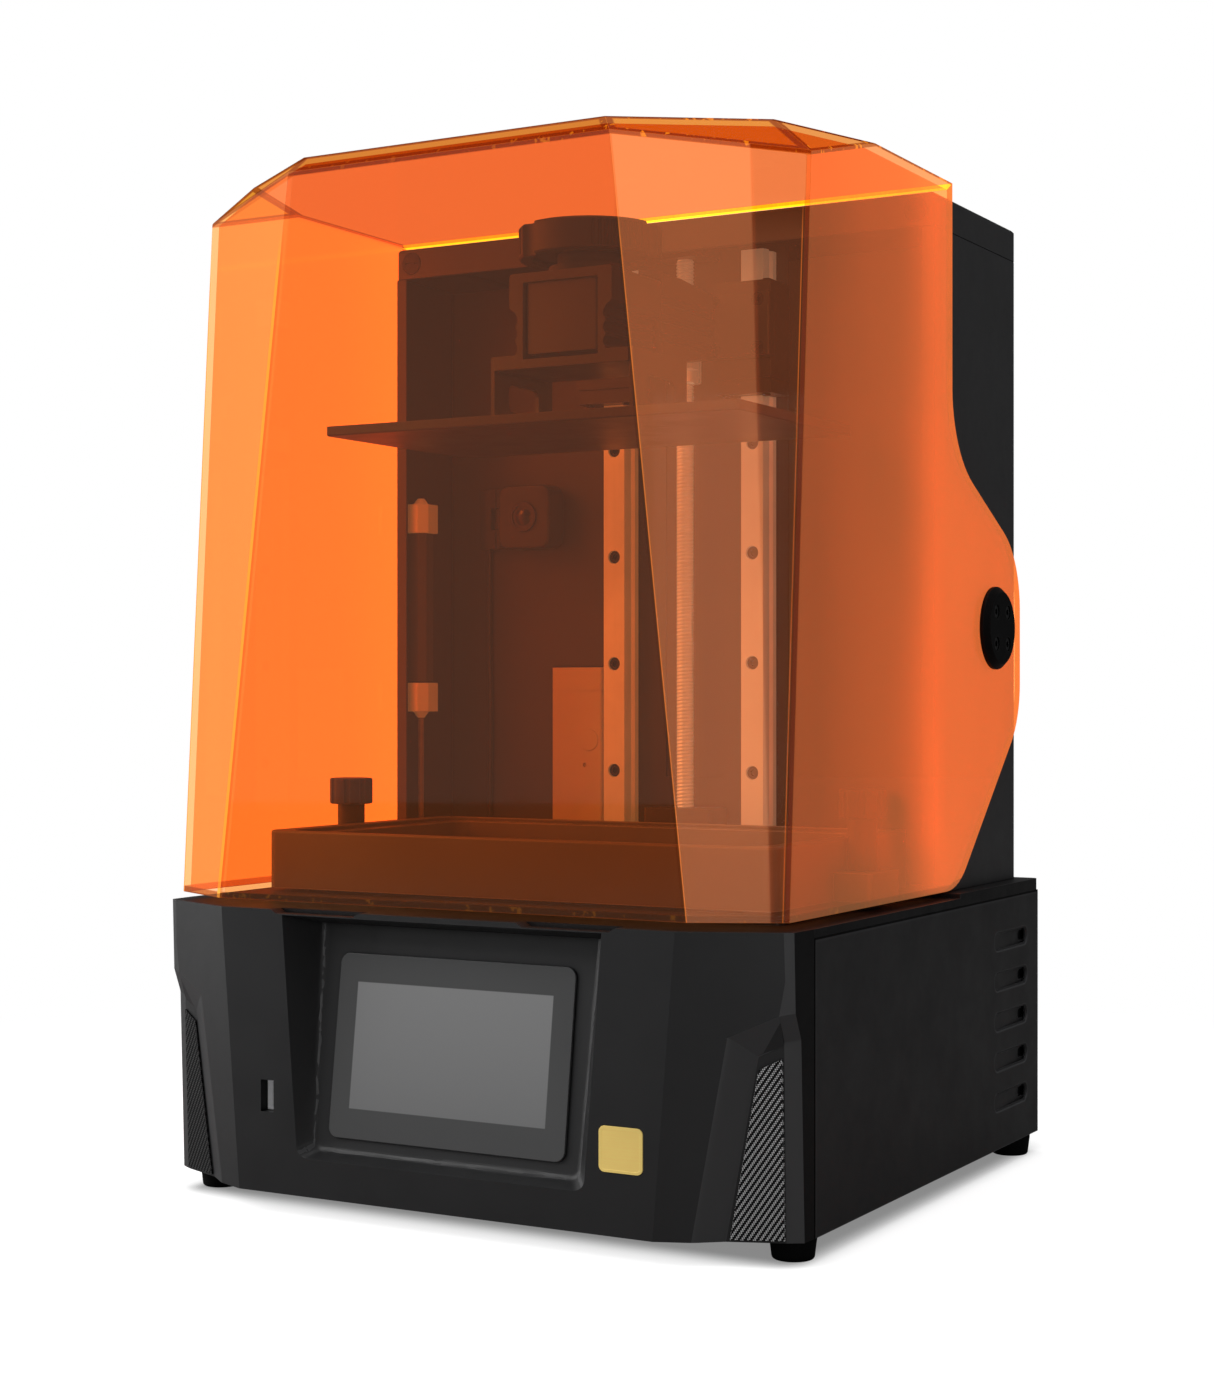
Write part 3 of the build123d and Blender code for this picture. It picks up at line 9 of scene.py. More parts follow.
import bmesh
import bpy
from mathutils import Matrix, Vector


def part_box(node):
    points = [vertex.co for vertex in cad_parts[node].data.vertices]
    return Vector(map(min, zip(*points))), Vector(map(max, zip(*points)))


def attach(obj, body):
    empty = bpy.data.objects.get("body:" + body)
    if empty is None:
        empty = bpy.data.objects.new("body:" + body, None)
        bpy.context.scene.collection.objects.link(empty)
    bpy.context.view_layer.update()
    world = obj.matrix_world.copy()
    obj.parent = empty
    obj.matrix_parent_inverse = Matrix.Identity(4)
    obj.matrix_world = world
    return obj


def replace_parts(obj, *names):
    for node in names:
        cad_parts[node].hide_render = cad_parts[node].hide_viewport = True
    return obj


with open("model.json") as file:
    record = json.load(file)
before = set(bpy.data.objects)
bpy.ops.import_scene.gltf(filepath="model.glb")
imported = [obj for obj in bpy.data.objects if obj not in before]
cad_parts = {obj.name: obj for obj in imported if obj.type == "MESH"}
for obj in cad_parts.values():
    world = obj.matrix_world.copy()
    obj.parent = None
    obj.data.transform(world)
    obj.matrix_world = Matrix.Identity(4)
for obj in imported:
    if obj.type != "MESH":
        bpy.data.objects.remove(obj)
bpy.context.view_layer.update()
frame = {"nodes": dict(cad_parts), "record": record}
nodes = frame["nodes"]
scene = bpy.context.scene

BLACK = (0, 0, 0)
WHITE = (1, 1, 1)
# the part of a noise's range that holds most of its values
MIDDLE = (0.3, 0.7)


# ---------------------------------------------------------------- shader node helper
class NodeNet:
    """The shader nodes of a material or a world, with short calls for the common ones."""

    def __init__(self, owner, kind="Material"):
        owner.use_nodes = True
        self.owner = owner
        self.tree = owner.node_tree
        self.tree.nodes.clear()
        self.out = self.tree.nodes.new("ShaderNodeOutput" + kind)
        self.object_place = None

    def node(self, kind, inputs=None, **attributes):
        made = self.tree.nodes.new("ShaderNode" + kind)
        for key, value in attributes.items():
            setattr(made, key, value)
        for key, value in (inputs or {}).items():
            self.feed(made.inputs[key], value)
        return made

    def feed(self, socket, value):
        """Links a socket or a node's first output, or sets a plain value."""
        if isinstance(value, bpy.types.NodeSocket):
            self.tree.links.new(value, socket)
        elif isinstance(value, bpy.types.Node):
            self.tree.links.new(value.outputs[0], socket)
        else:
            if socket.type == "RGBA" and not hasattr(value, "__len__"):
                value = (value, value, value, 1.0)
            elif socket.type == "RGBA" and len(value) == 3:
                value = tuple(value) + (1.0,)
            socket.default_value = value

    def math(self, operation, a, b=0.0):
        return self.node("Math", {0: a, 1: b}, operation=operation).outputs[0]

    def add(self, a, b):
        return self.math("ADD", a, b)

    def sub(self, a, b):
        return self.math("SUBTRACT", a, b)

    def mul(self, first, *rest):
        return self.math("MULTIPLY", first, self.mul(*rest)) if rest else first

    def invert(self, value):
        return self.sub(1.0, value)

    def max(self, a, b):
        return self.math("MAXIMUM", a, b)

    def min(self, a, b):
        return self.math("MINIMUM", a, b)

    def above(self, a, b):
        return self.math("GREATER_THAN", a, b)

    def below(self, a, b):
        return self.math("LESS_THAN", a, b)

    def vec(self, operation, a, b=(0, 0, 0)):
        made = self.node("VectorMath", {0: a, 1: b}, operation=operation)
        return made.outputs["Value" if operation in ("DOT_PRODUCT", "LENGTH") else 0]

    def place(self):
        """The point in the object's own frame."""
        if self.object_place is None:
            self.object_place = self.node("TexCoord").outputs["Object"]
        return self.object_place

    def stretch(self, *factors):
        return self.vec("MULTIPLY", self.place(), factors)

    def split(self, vector):
        return self.node("SeparateXYZ", {"Vector": vector}).outputs

    def noise(self, scale, detail=2.0, rough=0.5, at=None):
        return self.node("TexNoise", {"Vector": at or self.place(), "Scale": scale,
                                      "Detail": detail, "Roughness": rough}).outputs["Fac"]

    def checker(self, scale, at=None):
        return self.node("TexChecker", {"Vector": at or self.place(),
                                        "Scale": scale}).outputs["Fac"]

    def span(self, value, start, end, low=0.0, high=1.0, smooth=False):
        """Maps start..end to low..high."""
        inputs = {"Value": value, "From Min": start, "From Max": end, "To Min": low,
                  "To Max": high}
        kind = "SMOOTHSTEP" if smooth else "LINEAR"
        return self.node("MapRange", inputs, interpolation_type=kind).outputs[0]

    def mix(self, factor, a, b, blend="MIX"):
        # sockets 6 and 7 are the two colours
        made = self.node("Mix", {0: factor}, data_type="RGBA", blend_type=blend)
        self.feed(made.inputs[6], a)
        self.feed(made.inputs[7], b)
        return made.outputs[2]

    def layers(self, colour, *masked):
        """Lays (mask, colour) pairs over a colour, the last on top."""
        for mask, over in masked:
            colour = self.mix(mask, colour, over)
        return colour

    def bump(self, height, strength=0.3, distance=0.0002):
        return self.node("Bump", {"Height": height, "Strength": strength,
                                  "Distance": distance}).outputs[0]

    def occlusion(self, distance, samples):
        return self.node("AmbientOcclusion", {"Distance": distance}, samples=samples).outputs["AO"]

    def edge(self, radius=0.0008):
        """1 on a rounded edge, 0 on a flat."""
        rounded = self.node("Bevel", {"Radius": radius}, samples=4)
        geometry = self.node("NewGeometry")
        agreement = self.vec("DOT_PRODUCT", rounded.outputs[0], geometry.outputs["Normal"])
        return self.span(agreement, start=0.995, end=0.86)

    def emission(self, colour, strength):
        return self.node("Emission", {"Color": colour, "Strength": strength})

    def mix_shader(self, factor, a, b):
        return self.node("MixShader", {0: factor, 1: a, 2: b})

    def add_shader(self, a, b):
        return self.node("AddShader", {0: a, 1: b})

    def bsdf(self, **inputs):
        return self.node("BsdfPrincipled", {k.replace("_", " "): v for k, v in inputs.items()})

    def surface(self, shader):
        self.feed(self.out.inputs["Surface"], shader)
        return self.owner


def material_net(name):
    return NodeNet(bpy.data.materials.new(name))


def scaled(colour, factor):
    return tuple(x * factor for x in colour)


def lightened(colour, factor, lift):
    return tuple(min(1.0, x * factor + lift) for x in colour)


# ---------------------------------------------------------------- opaque materials
def coated(name, base, rough, grain, bump, wear=0.10, metallic=0.0, specular=0.5, speck=0.0,
           rim=0.0, marks=None):
    """A solid surface with fine grain, slow colour drift and rubbed edges.

    grain is the scale of the fine noise and bump its strength. wear lightens edges in patches,
    rim paints a highlight along their whole length. marks adds a piece's painted highlights and
    shade to its colour and specular. Narrow gaps get painted shade.
    """
    net = material_net(name)
    drift = net.noise(scale=9.0, detail=3.0)
    fine = net.noise(scale=grain, rough=0.6)
    smear = net.noise(scale=38.0, detail=4.0, rough=0.65)
    colour = net.mix(net.span(drift, *MIDDLE), scaled(base, 0.88), scaled(base, 1.12))
    grain_mask = net.mul(net.span(fine, start=0.35, end=0.65), 0.25)
    colour = net.mix(grain_mask, colour, scaled(base, 1.25))
    if speck:
        cells = net.node("TexVoronoi", {"Vector": net.place(), "Scale": grain * 0.35})
        dots = net.span(cells.outputs["Distance"], start=0.10, end=0.02)
        colour = net.mix(net.mul(dots, speck), colour, lightened(base, factor=3, lift=0.02))
    rubbed = net.mul(net.edge(), net.span(smear, start=0.42, end=0.68))
    colour = net.mix(net.mul(rubbed, wear), colour, lightened(base, factor=4, lift=0.04))
    if rim:
        # painted highlight: a bright line along every rounded edge
        rim_highlight_mask = net.mul(net.edge(radius=0.0010), rim)
        colour = net.mix(rim_highlight_mask, colour, lightened(base, factor=5, lift=0.03))
    # painted light: the piece's painted highlights and shade
    if marks:
        colour, specular = marks(net, colour, specular, base)
    # painted shade: narrow gaps go dark and dull
    open_air = net.occlusion(distance=0.0035, samples=3)
    colour = net.mix(net.span(open_air, start=0.75, end=0.30), colour, scaled(base, 0.25))
    specular = net.mul(specular, net.span(open_air, start=0.30, end=0.75, low=0.2))
    roughness = net.span(smear, *MIDDLE, low=rough - 0.05, high=rough + 0.06)
    height = net.add(fine, net.mul(smear, 0.35))
    return net.surface(net.bsdf(
        Base_Color=colour, Roughness=roughness, Metallic=metallic, Specular_IOR_Level=specular,
        Coat_Weight=0.0, Coat_Roughness=0.15, Normal=net.bump(height, bump)))


# painted light on facets: range of the normal's sideways share, and the tone painted on
# the faces within it
FACETS = ((0.47, 0.62, 2.3), (0.95, 1.01, 0.3))


def facet_painted_light(net, colour, specular, base):
    """Painted light: oblique faces painted lighter as a highlight, faces square to x darker as
    shade.
    """
    sideways = net.math("ABSOLUTE", net.split(net.node("TexCoord").outputs["Normal"])[0])
    for low, high, tone in FACETS:
        within = net.mul(net.above(sideways, low), net.below(sideways, high))
        colour = net.mix(within, colour, scaled(base, tone))
        specular = net.mul(specular, net.add(1.0, net.mul(within, min(tone, 1.6) - 1.0)))
    return colour, specular


# front (y) and top (z) borders of the side panels, where shade and a highlight are painted
PANEL_FRONT = -0.1286
PANEL_TOP = 0.14390
# the rounded slots of the side panels, with painted highlights on their rims: their ends in y,
# half width and middle heights
LOUVRE_ENDS = (0.1048, 0.1462)
LOUVRE_HALF = 0.0053
LOUVRE_HEIGHTS = [0.12065 - 0.0212 * i for i in range(5)]


def panel_painted_light(net, colour, specular, base):
    """Painted shade in the front and top joint, a painted highlight on its lip and on louvre rims.
    """
    _, y, z = net.split(net.place())
    inset = net.min(net.sub(y, PANEL_FRONT), net.sub(PANEL_TOP, z))
    # painted shade: dark and dull within the joint
    colour = net.mix(net.span(inset, start=0.0011, end=0.0009), colour, scaled(base, 0.12))
    specular = net.mul(specular, net.span(inset, start=0.0009, end=0.0011, low=0.1))
    # painted highlight on the lip beside the joint
    lip = net.mul(net.span(inset, start=0.0010, end=0.0012),
                  net.span(inset, start=0.0022, end=0.0016))
    colour = net.mix(net.mul(lip, 0.8), colour, scaled(base, 3.0))
    near_end, far_end = LOUVRE_ENDS
    for height in LOUVRE_HEIGHTS:
        # distance from the slot's middle line, and the rim at half a width from it
        off_y = net.sub(y, net.min(net.max(y, near_end), far_end))
        off_z = net.sub(z, height)
        distance = net.math("SQRT", net.add(net.mul(off_y, off_y), net.mul(off_z, off_z)))
        rim = net.mul(net.span(distance, LOUVRE_HALF - 0.0007, LOUVRE_HALF - 0.0003),
                      net.span(distance, LOUVRE_HALF + 0.0005, LOUVRE_HALF + 0.0001))
        # painted highlight on the rim, brighter below and at the front end
        lit_side = net.max(net.span(off_z, start=0.0, end=-0.002),
                           net.span(y, near_end, near_end - 0.002))
        amount = net.mul(rim, net.add(0.15, net.mul(lit_side, 0.85)))
        colour = net.mix(amount, colour, scaled(base, 6.0))
    return colour, specular


def metal(name, base, rough, stretch, bump=0.12, wear=0.0, share=1.0, painted_glow=0.0):
    """Machined, ground or drawn metal: streaks along one direction with a little tarnish.

    share is how metallic it is; the last argument is a painted glow, a faint light of its own.
    """
    net = material_net(name)
    streak = net.noise(scale=1.0, detail=3.0, rough=0.6, at=net.stretch(*stretch))
    stain = net.noise(scale=26.0, detail=4.0, rough=0.6)
    colour = net.mix(net.span(stain, start=0.35, end=0.7), base, scaled(base, 0.86))
    colour = net.mix(net.mul(net.span(streak, *MIDDLE), 0.22), colour, scaled(base, 0.72))
    if wear:
        colour = net.mix(net.mul(net.edge(), wear), colour, lightened(base, factor=1.5, lift=0.1))
    roughness = net.add(
        net.span(streak, start=0.25, end=0.75, low=rough - 0.05, high=rough + 0.08),
        net.span(stain, start=0.4, end=0.8, low=0.0, high=0.08))
    # painted glow: the metal's colour given off as a faint light
    return net.surface(net.bsdf(
        Base_Color=colour, Roughness=roughness, Metallic=share,
        Normal=net.bump(streak, bump, distance=0.0001),
        Emission_Color=colour, Emission_Strength=painted_glow))


TOW_WIDTH = 0.00078
WEAVE_TURN = math.radians(-10)


def carbon():
    """2/2 twill under clear coat, laid in the plane of each face; painted shade on the left half.
    """
    net = material_net("carbon_twill")
    normal = net.node("NewGeometry").outputs["True Normal"]
    place = net.place()
    level = net.vec("NORMALIZE", net.vec("CROSS_PRODUCT", normal, (0, 0, 1)))
    across = net.vec("DOT_PRODUCT", place, level)
    height = net.split(place)[2]
    cos, sin = math.cos(WEAVE_TURN), math.sin(WEAVE_TURN)
    # weave coordinates, counted in tows
    warp = net.math("DIVIDE", net.add(net.mul(across, cos), net.mul(height, sin)), TOW_WIDTH)
    weft = net.math("DIVIDE", net.sub(net.mul(height, cos), net.mul(across, sin)), TOW_WIDTH)
    # each row repeats every four tows, one step along from the row before
    steps = net.add(net.math("FLOOR", warp), net.math("FLOOR", weft))
    phase = net.mul(net.math("FRACT", net.mul(steps, 0.25)), 4.0)
    over = net.below(phase, 1.5)
    warp_arch = net.math("SINE", net.mul(net.math("FRACT", warp), math.pi))
    weft_arch = net.math("SINE", net.mul(net.math("FRACT", weft), math.pi))
    arch = net.add(net.mul(over, warp_arch), net.mul(net.invert(over), weft_arch))
    strand_place = net.add(net.mul(over, warp), net.mul(net.invert(over), weft))
    strand = net.math("SINE", net.mul(strand_place, 62.0))
    fibre = net.add(net.mul(strand, 0.12), net.noise(scale=2600.0, detail=1.0))
    colour = net.mix(over, (0.003, 0.003, 0.0035), (0.95, 0.95, 0.96))
    tow_edge = net.span(net.min(warp_arch, weft_arch), start=0.62, end=0.25)
    colour = net.mix(tow_edge, colour, (0.003, 0.003, 0.003))
    # painted shade and sheen: the left half is dimmed nearly black with little gloss, the right
    # half shines
    dimmed = net.mix(0.86, colour, (0.0025, 0.0025, 0.0025))
    colour = net.mix(net.below(net.split(place)[0], 0.0), colour, dimmed)
    sheen = net.add(0.25, net.mul(net.above(net.split(place)[0], 0.0), 0.75))
    fibre_mask = net.mul(net.span(fibre, start=0.35, end=0.75), 0.12)
    colour = net.mix(fibre_mask, colour, (0.10, 0.101, 0.105))
    relief = net.add(arch, net.mul(fibre, 0.2))
    return net.surface(net.bsdf(
        Base_Color=colour,
        Roughness=net.span(fibre, start=0.2, end=0.8, low=0.34, high=0.5),
        Metallic=0.2,
        Specular_IOR_Level=net.mul(sheen, 0.15),
        Normal=net.bump(relief, strength=0.45, distance=0.00014),
        Coat_Weight=net.mul(net.sub(sheen, 0.25), 0.16),
        Coat_Roughness=0.12))


def display_glass():
    """Cover glass: dark border, and the unlit panel behind its active area in a painted
    reflection.
    """
    net = material_net("display_glass")
    x, _, z = net.split(net.place())
    in_width = net.mul(net.span(net.math("ABSOLUTE", x), start=0.05465, end=0.05425), 1.0)
    in_height = net.mul(net.span(z, start=0.0538, end=0.0542),
                        net.span(z, start=0.1138, end=0.1134))
    active = net.mul(in_width, in_height)
    normal_y = net.split(net.node("NewGeometry").outputs["Normal"])[1]
    active = net.mul(active, net.above(net.mul(normal_y, -1.0), 0.5))
    cells = net.checker(scale=5200.0, at=net.stretch(1, 1, 1))
    smear = net.noise(scale=14.0)
    # painted reflection: the panel pale grey, lighter towards the top
    panel = net.mix(net.span(z, start=0.054, end=0.1135),
                    (0.26, 0.262, 0.264), (0.36, 0.362, 0.365))
    panel = net.mix(net.mul(cells, 0.10), panel, (0.10, 0.102, 0.105))
    border = net.mix(net.span(smear, *MIDDLE), (0.080, 0.081, 0.082), (0.088, 0.089, 0.090))
    return net.surface(net.bsdf(
        Base_Color=net.mix(active, border, panel),
        Roughness=net.span(smear, start=0.35, end=0.75, low=0.30, high=0.34),
        Specular_IOR_Level=0.5, Coat_Weight=0.25, Coat_Roughness=0.10,
        Normal=net.bump(smear, strength=0.01, distance=0.0001)))


def exposure_glass():
    """Near-black glass with a fine grid of cells."""
    net = material_net("exposure_glass")
    smear = net.noise(scale=34.0, detail=4.0, rough=0.7)
    cells = net.checker(scale=3000.0)
    return net.surface(net.bsdf(
        Base_Color=net.mix(net.mul(cells, 0.3), (0.012, 0.014, 0.018), (0.022, 0.024, 0.032)),
        Roughness=net.span(smear, *MIDDLE, low=0.06, high=0.16),
        Coat_Weight=0.5,
        Normal=net.bump(smear, strength=0.02, distance=0.0001)))


def circuit():
    """Solder-masked board with traces and pads."""
    net = material_net("circuit_board")
    place = net.place()
    blocks = net.node("TexBrick", {
        "Vector": net.vec("MULTIPLY", place, (1, 1, 1)), "Scale": 95.0, "Mortar Size": 0.035,
        "Color1": 0.0, "Color2": 0.15, "Mortar": 1.0}).outputs["Color"]
    traces = net.node("TexVoronoi", {"Vector": place, "Scale": 260.0},
                      feature="DISTANCE_TO_EDGE").outputs["Distance"]
    pads = net.node("TexVoronoi", {"Vector": place, "Scale": 190.0}).outputs["Distance"]
    colour = net.mix(net.span(traces, start=0.05, end=0.02),
                     (0.008, 0.05, 0.02), (0.02, 0.13, 0.05))
    colour = net.mix(net.mul(blocks, 0.35), colour, (0.03, 0.2, 0.08))
    pad = net.span(pads, start=0.13, end=0.10)
    return net.surface(net.bsdf(
        Base_Color=net.mix(pad, colour, (0.62, 0.56, 0.42)),
        Roughness=net.mix(pad, 0.42, 0.28),
        Metallic=net.mul(pad, 0.9),
        Normal=net.bump(blocks, strength=0.15, distance=0.0001)))


def frosted(name, base, glow=0.0):
    """Moulded translucent white plastic, with an optional painted glow of its own."""
    net = material_net(name)
    fine = net.noise(scale=900.0)
    smear = net.noise(scale=30.0, detail=3.0)
    inputs = {
        "Base_Color": net.mix(net.span(smear, *MIDDLE), base, scaled(base, 0.93)),
        "Roughness": net.span(fine, *MIDDLE, low=0.42, high=0.52),
        "Subsurface_Weight": 0.25,
        "Subsurface_Scale": 0.002,
        "Normal": net.bump(fine, strength=0.08),
    }
    # painted glow: a faint light of its own
    if glow:
        inputs["Emission_Color"] = (1.0, 0.97, 0.9)
        inputs["Emission_Strength"] = glow
    return net.surface(net.bsdf(**inputs))


def lens_glass():
    """Dark glass that turns violet where it is seen at a slant."""
    net = material_net("lens_glass")
    facing = net.node("LayerWeight", {"Blend": 0.45}).outputs["Facing"]
    fine = net.noise(scale=220.0)
    return net.surface(net.bsdf(
        Base_Color=net.mix(facing, (0.012, 0.012, 0.022), (0.09, 0.05, 0.16)),
        Roughness=net.span(fine, *MIDDLE, low=0.12, high=0.20),
        Specular_IOR_Level=0.35, Coat_Weight=0.3, Coat_Tint=(0.75, 0.8, 1.0)))


def release_film():
    """Clear, slightly wrinkled film."""
    net = material_net("release_film")
    wrinkles = net.noise(scale=18.0, detail=3.0)
    fine = net.noise(scale=420.0)
    gloss = net.node("BsdfGlossy", {
        "Color": (0.9, 0.93, 0.96),
        "Roughness": net.span(fine, *MIDDLE, low=0.08, high=0.16),
        "Normal": net.bump(wrinkles, strength=0.10, distance=0.0006)})
    clear = net.node("BsdfTransparent", {"Color": (0.93, 0.95, 0.97)})
    fresnel = net.node("Fresnel", {"IOR": 1.38})
    share = net.add(net.mul(fresnel, 1.2), 0.05)
    return net.surface(net.mix_shader(share, clear, gloss))


def pvc(name, base):
    net = material_net(name)
    fine = net.noise(scale=700.0)
    ring = net.noise(scale=1.0, at=net.stretch(60, 60, 240))
    return net.surface(net.bsdf(
        Base_Color=net.mix(net.span(ring, *MIDDLE), base, scaled(base, 0.8)),
        Roughness=net.span(fine, *MIDDLE, low=0.36, high=0.5),
        Normal=net.bump(fine, strength=0.12)))


# ---------------------------------------------------------------- the cover's acrylic
# planes of the cover's outer faces on its right half: a point in mm, and the normal
COVER = {
    "front": ((0, -165.1, 152.0), (0.0, -1.0, 0.0071)),
    "chamfer": ((128.9, -165.1, 152.0), (0.4655, -0.8831, 0.0591)),
    "side": ((169.0, 0, 300.0), (1.0, 0.0, 0.0)),
    "roof": ((0, 0, 511.6), (0.0, 0.0, 1.0)),
    "slope": ((0, -157.0, 511.6), (0.0, -0.809, 0.588)),
    "corner": ((147.4, -114.3, 511.6), (0.394, -0.588, 0.706)),
    "flank": ((147.4, -114.3, 511.6), (0.593, -0.195, 0.780)),
}
# colour let through by one surface; a sheet has two. Front and side hold the sheet's own tint;
# the others are painted light: the chamfer paler as a painted reflection, the roof, slope,
# corner and flank darker as painted shade
TINT = {
    "front": (0.985, 0.632, 0.352),
    "side": (0.985, 0.632, 0.352),
    "chamfer": (0.99, 0.80, 0.62),
    "roof": (0.93, 0.57, 0.40),
    "slope": (0.72, 0.38, 0.08),
    "corner": (0.86, 0.50, 0.12),
    "flank": (0.88, 0.56, 0.20),
}
# share of light scattered (lit by the lamps), and of painted glow, on the front, chamfers,
# sides and the sides' rear; their rise towards the chamfers and the sides' rear is painted
# reflection
HAZE = (0.014, 0.060, 0.110, 0.22)
GLOW = (0.004, 0.030, 0.015, 0.25)
HAZE_COLOUR = (1.0, 0.22, 0.05)
# the slanting edge of the painted reflection on the right chamfer: x at a height, and how much
# x grows per height below
SLANT_X, SLANT_Z, SLANT_RATE = 0.1460, 0.4714, 0.04904


def cover_depths(net, place):
    """Depth in mm below each outer face, and the smallest two of them."""
    x, y, z = place
    mirrored = net.node("CombineXYZ", {"X": net.math("ABSOLUTE", x), "Y": y, "Z": z}).outputs[0]
    depth = {}
    for key, (point, normal) in COVER.items():
        normal = Vector(normal).normalized()
        offset = net.mul(net.vec("DOT_PRODUCT", mirrored, tuple(normal)), 1000.0)
        depth[key] = net.sub(normal.dot(Vector(point)), offset)
    nearest, *others = depth.values()
    second = None
    for value in others:
        larger = net.max(nearest, value)
        second = larger if second is None else net.min(second, larger)
        nearest = net.min(nearest, value)
    return depth, nearest, second


def cover_zones(net):
    """Masks of the cover: where its faces look, and the strips beside its joints."""
    zone = SimpleNamespace()
    place = net.split(net.node("TexCoord").outputs["Object"])
    normal = net.split(net.node("TexCoord").outputs["Normal"])
    zone.x, zone.y, zone.z = place
    zone.facing_x = net.math("ABSOLUTE", normal[0])
    zone.facing_z = net.math("ABSOLUTE", normal[2])
    zone.right = net.above(zone.x, 0.0)
    zone.left = net.invert(zone.right)
    zone.upright = net.below(zone.facing_z, 0.3)
    zone.side = net.above(zone.facing_x, 0.9)
    zone.chamfer = net.mul(zone.upright, net.above(zone.facing_x, 0.3),
                           net.below(zone.facing_x, 0.9))
    zone.top = net.invert(zone.upright)
    zone.high = net.span(zone.z, start=0.455, end=0.475)

    depth, nearest, second = cover_depths(net, place)
    zone.outer = net.below(nearest, 0.6)
    inner = net.above(nearest, 2.4)
    # painted shade: brown strips where the sheet is seen edge on, along the roof and the bottom
    # rim
    brink = net.min(depth["roof"], net.min(depth["slope"],
                                           net.min(depth["corner"], depth["flank"])))
    by_brink = net.max(net.mul(zone.upright, net.span(brink, start=1.4, end=1.0)),
                       net.mul(zone.top, net.span(second, start=1.6, end=1.2)))
    roofline = net.mul(zone.outer, zone.high, by_brink)
    rim = net.mul(zone.outer, net.span(zone.z, start=0.1548, end=0.1542))
    zone.brown = net.max(roofline, rim)
    # painted glow along the rear edge of the roof's inner face
    zone.lip = net.mul(inner, zone.top, net.span(zone.y, start=0.0466, end=0.0470))
    # painted highlight on the borders of the left chamfer, then painted shade on its outermost
    # strip beside the side wall
    borders = net.max(net.span(depth["front"], start=1.70, end=1.45),
                      net.span(depth["side"], start=1.15, end=0.95))
    zone.amber = net.mul(net.mul(zone.outer, zone.chamfer, zone.left, borders),
                         net.invert(zone.high))
    zone.selvage = net.mul(zone.outer, zone.chamfer, zone.left,
                           net.span(depth["side"], start=0.45, end=0.30), net.invert(zone.high))
    # painted shade on the right chamfer's strip beside the side wall, and painted highlight lines
    zone.shade = net.mul(zone.outer, zone.chamfer, zone.right,
                         net.span(depth["side"], start=2.4, end=2.15), net.invert(zone.high))
    side_line = net.mul(net.span(depth["side"], start=2.35, end=2.55),
                        net.span(depth["side"], start=2.90, end=2.70))
    zone.line = net.mul(zone.outer, zone.chamfer, zone.right, net.invert(zone.high),
                        net.max(side_line, net.span(depth["front"], start=0.30, end=0.20)))
    # painted shade on the front wall's strip beside the chamfer
    zone.turn = net.mul(zone.outer, net.above(-0.9, normal[1]), net.invert(zone.high),
                        net.span(depth["chamfer"], start=0.75, end=0.55))
    # the part of the chamfers with a painted reflection: all of the left, the right up to a
    # slanting line
    slant_x = net.add(SLANT_X, net.mul(net.sub(SLANT_Z, zone.z), SLANT_RATE))
    slant = net.sub(slant_x, zone.x)
    zone.pale = net.max(zone.left, net.span(slant, start=-0.0004, end=0.0004))
    return zone


def cover_tint(net, zone, streak):
    """Colour the cover lets through, with painted shade and highlight strips."""
    facing = net.node("LayerWeight", {"Blend": 0.5}).outputs["Facing"]
    # seen at a slant, light takes a longer way through the sheet
    long_way = net.mul(zone.upright, net.math("POWER", facing, 4.0))
    return net.layers(
        TINT["front"],
        (zone.chamfer, TINT["chamfer"]),
        (zone.side, TINT["side"]),
        (long_way, tuple(c ** 3.2 for c in TINT["front"])),
        (zone.top, TINT["slope"]),
        (net.mul(zone.top, net.above(zone.facing_x, 0.2)), TINT["corner"]),
        (net.mul(zone.top, net.above(zone.facing_x, 0.5)), TINT["flank"]),
        (net.above(zone.facing_z, 0.9), TINT["roof"]),
        (net.mul(net.span(streak, start=0.35, end=0.7), 0.05), scaled(TINT["front"], 0.95)),
        (zone.brown, (0.42, 0.16, 0.05)),
        (zone.shade, (0.52, 0.25, 0.10)),
        (zone.amber, (0.80, 0.42, 0.10)),
        (net.mul(zone.turn, 0.6), (0.75, 0.36, 0.10)),
        (zone.selvage, (0.30, 0.12, 0.04)))


def cover_share(net, zone, streak, shares):
    """HAZE or GLOW over the cover, rising in two steps to the sides' rear, as painted reflection.
    """
    front, chamfer, side, rear = shares
    ramp = net.span(zone.y, start=-0.11, end=0.02)
    end_ramp = net.span(zone.y, start=-0.020, end=0.055, smooth=True)
    total = net.add(front, net.mul(zone.chamfer, zone.pale, chamfer - front))
    total = net.add(total, net.mul(zone.side, side - front))
    total = net.add(total, net.mul(zone.side, ramp, (rear - side) * 0.42))
    total = net.add(total, net.mul(zone.side, end_ramp, (rear - side) * 0.58))
    return net.mul(total, net.span(streak, start=0.25, end=0.75, low=0.90, high=1.10))


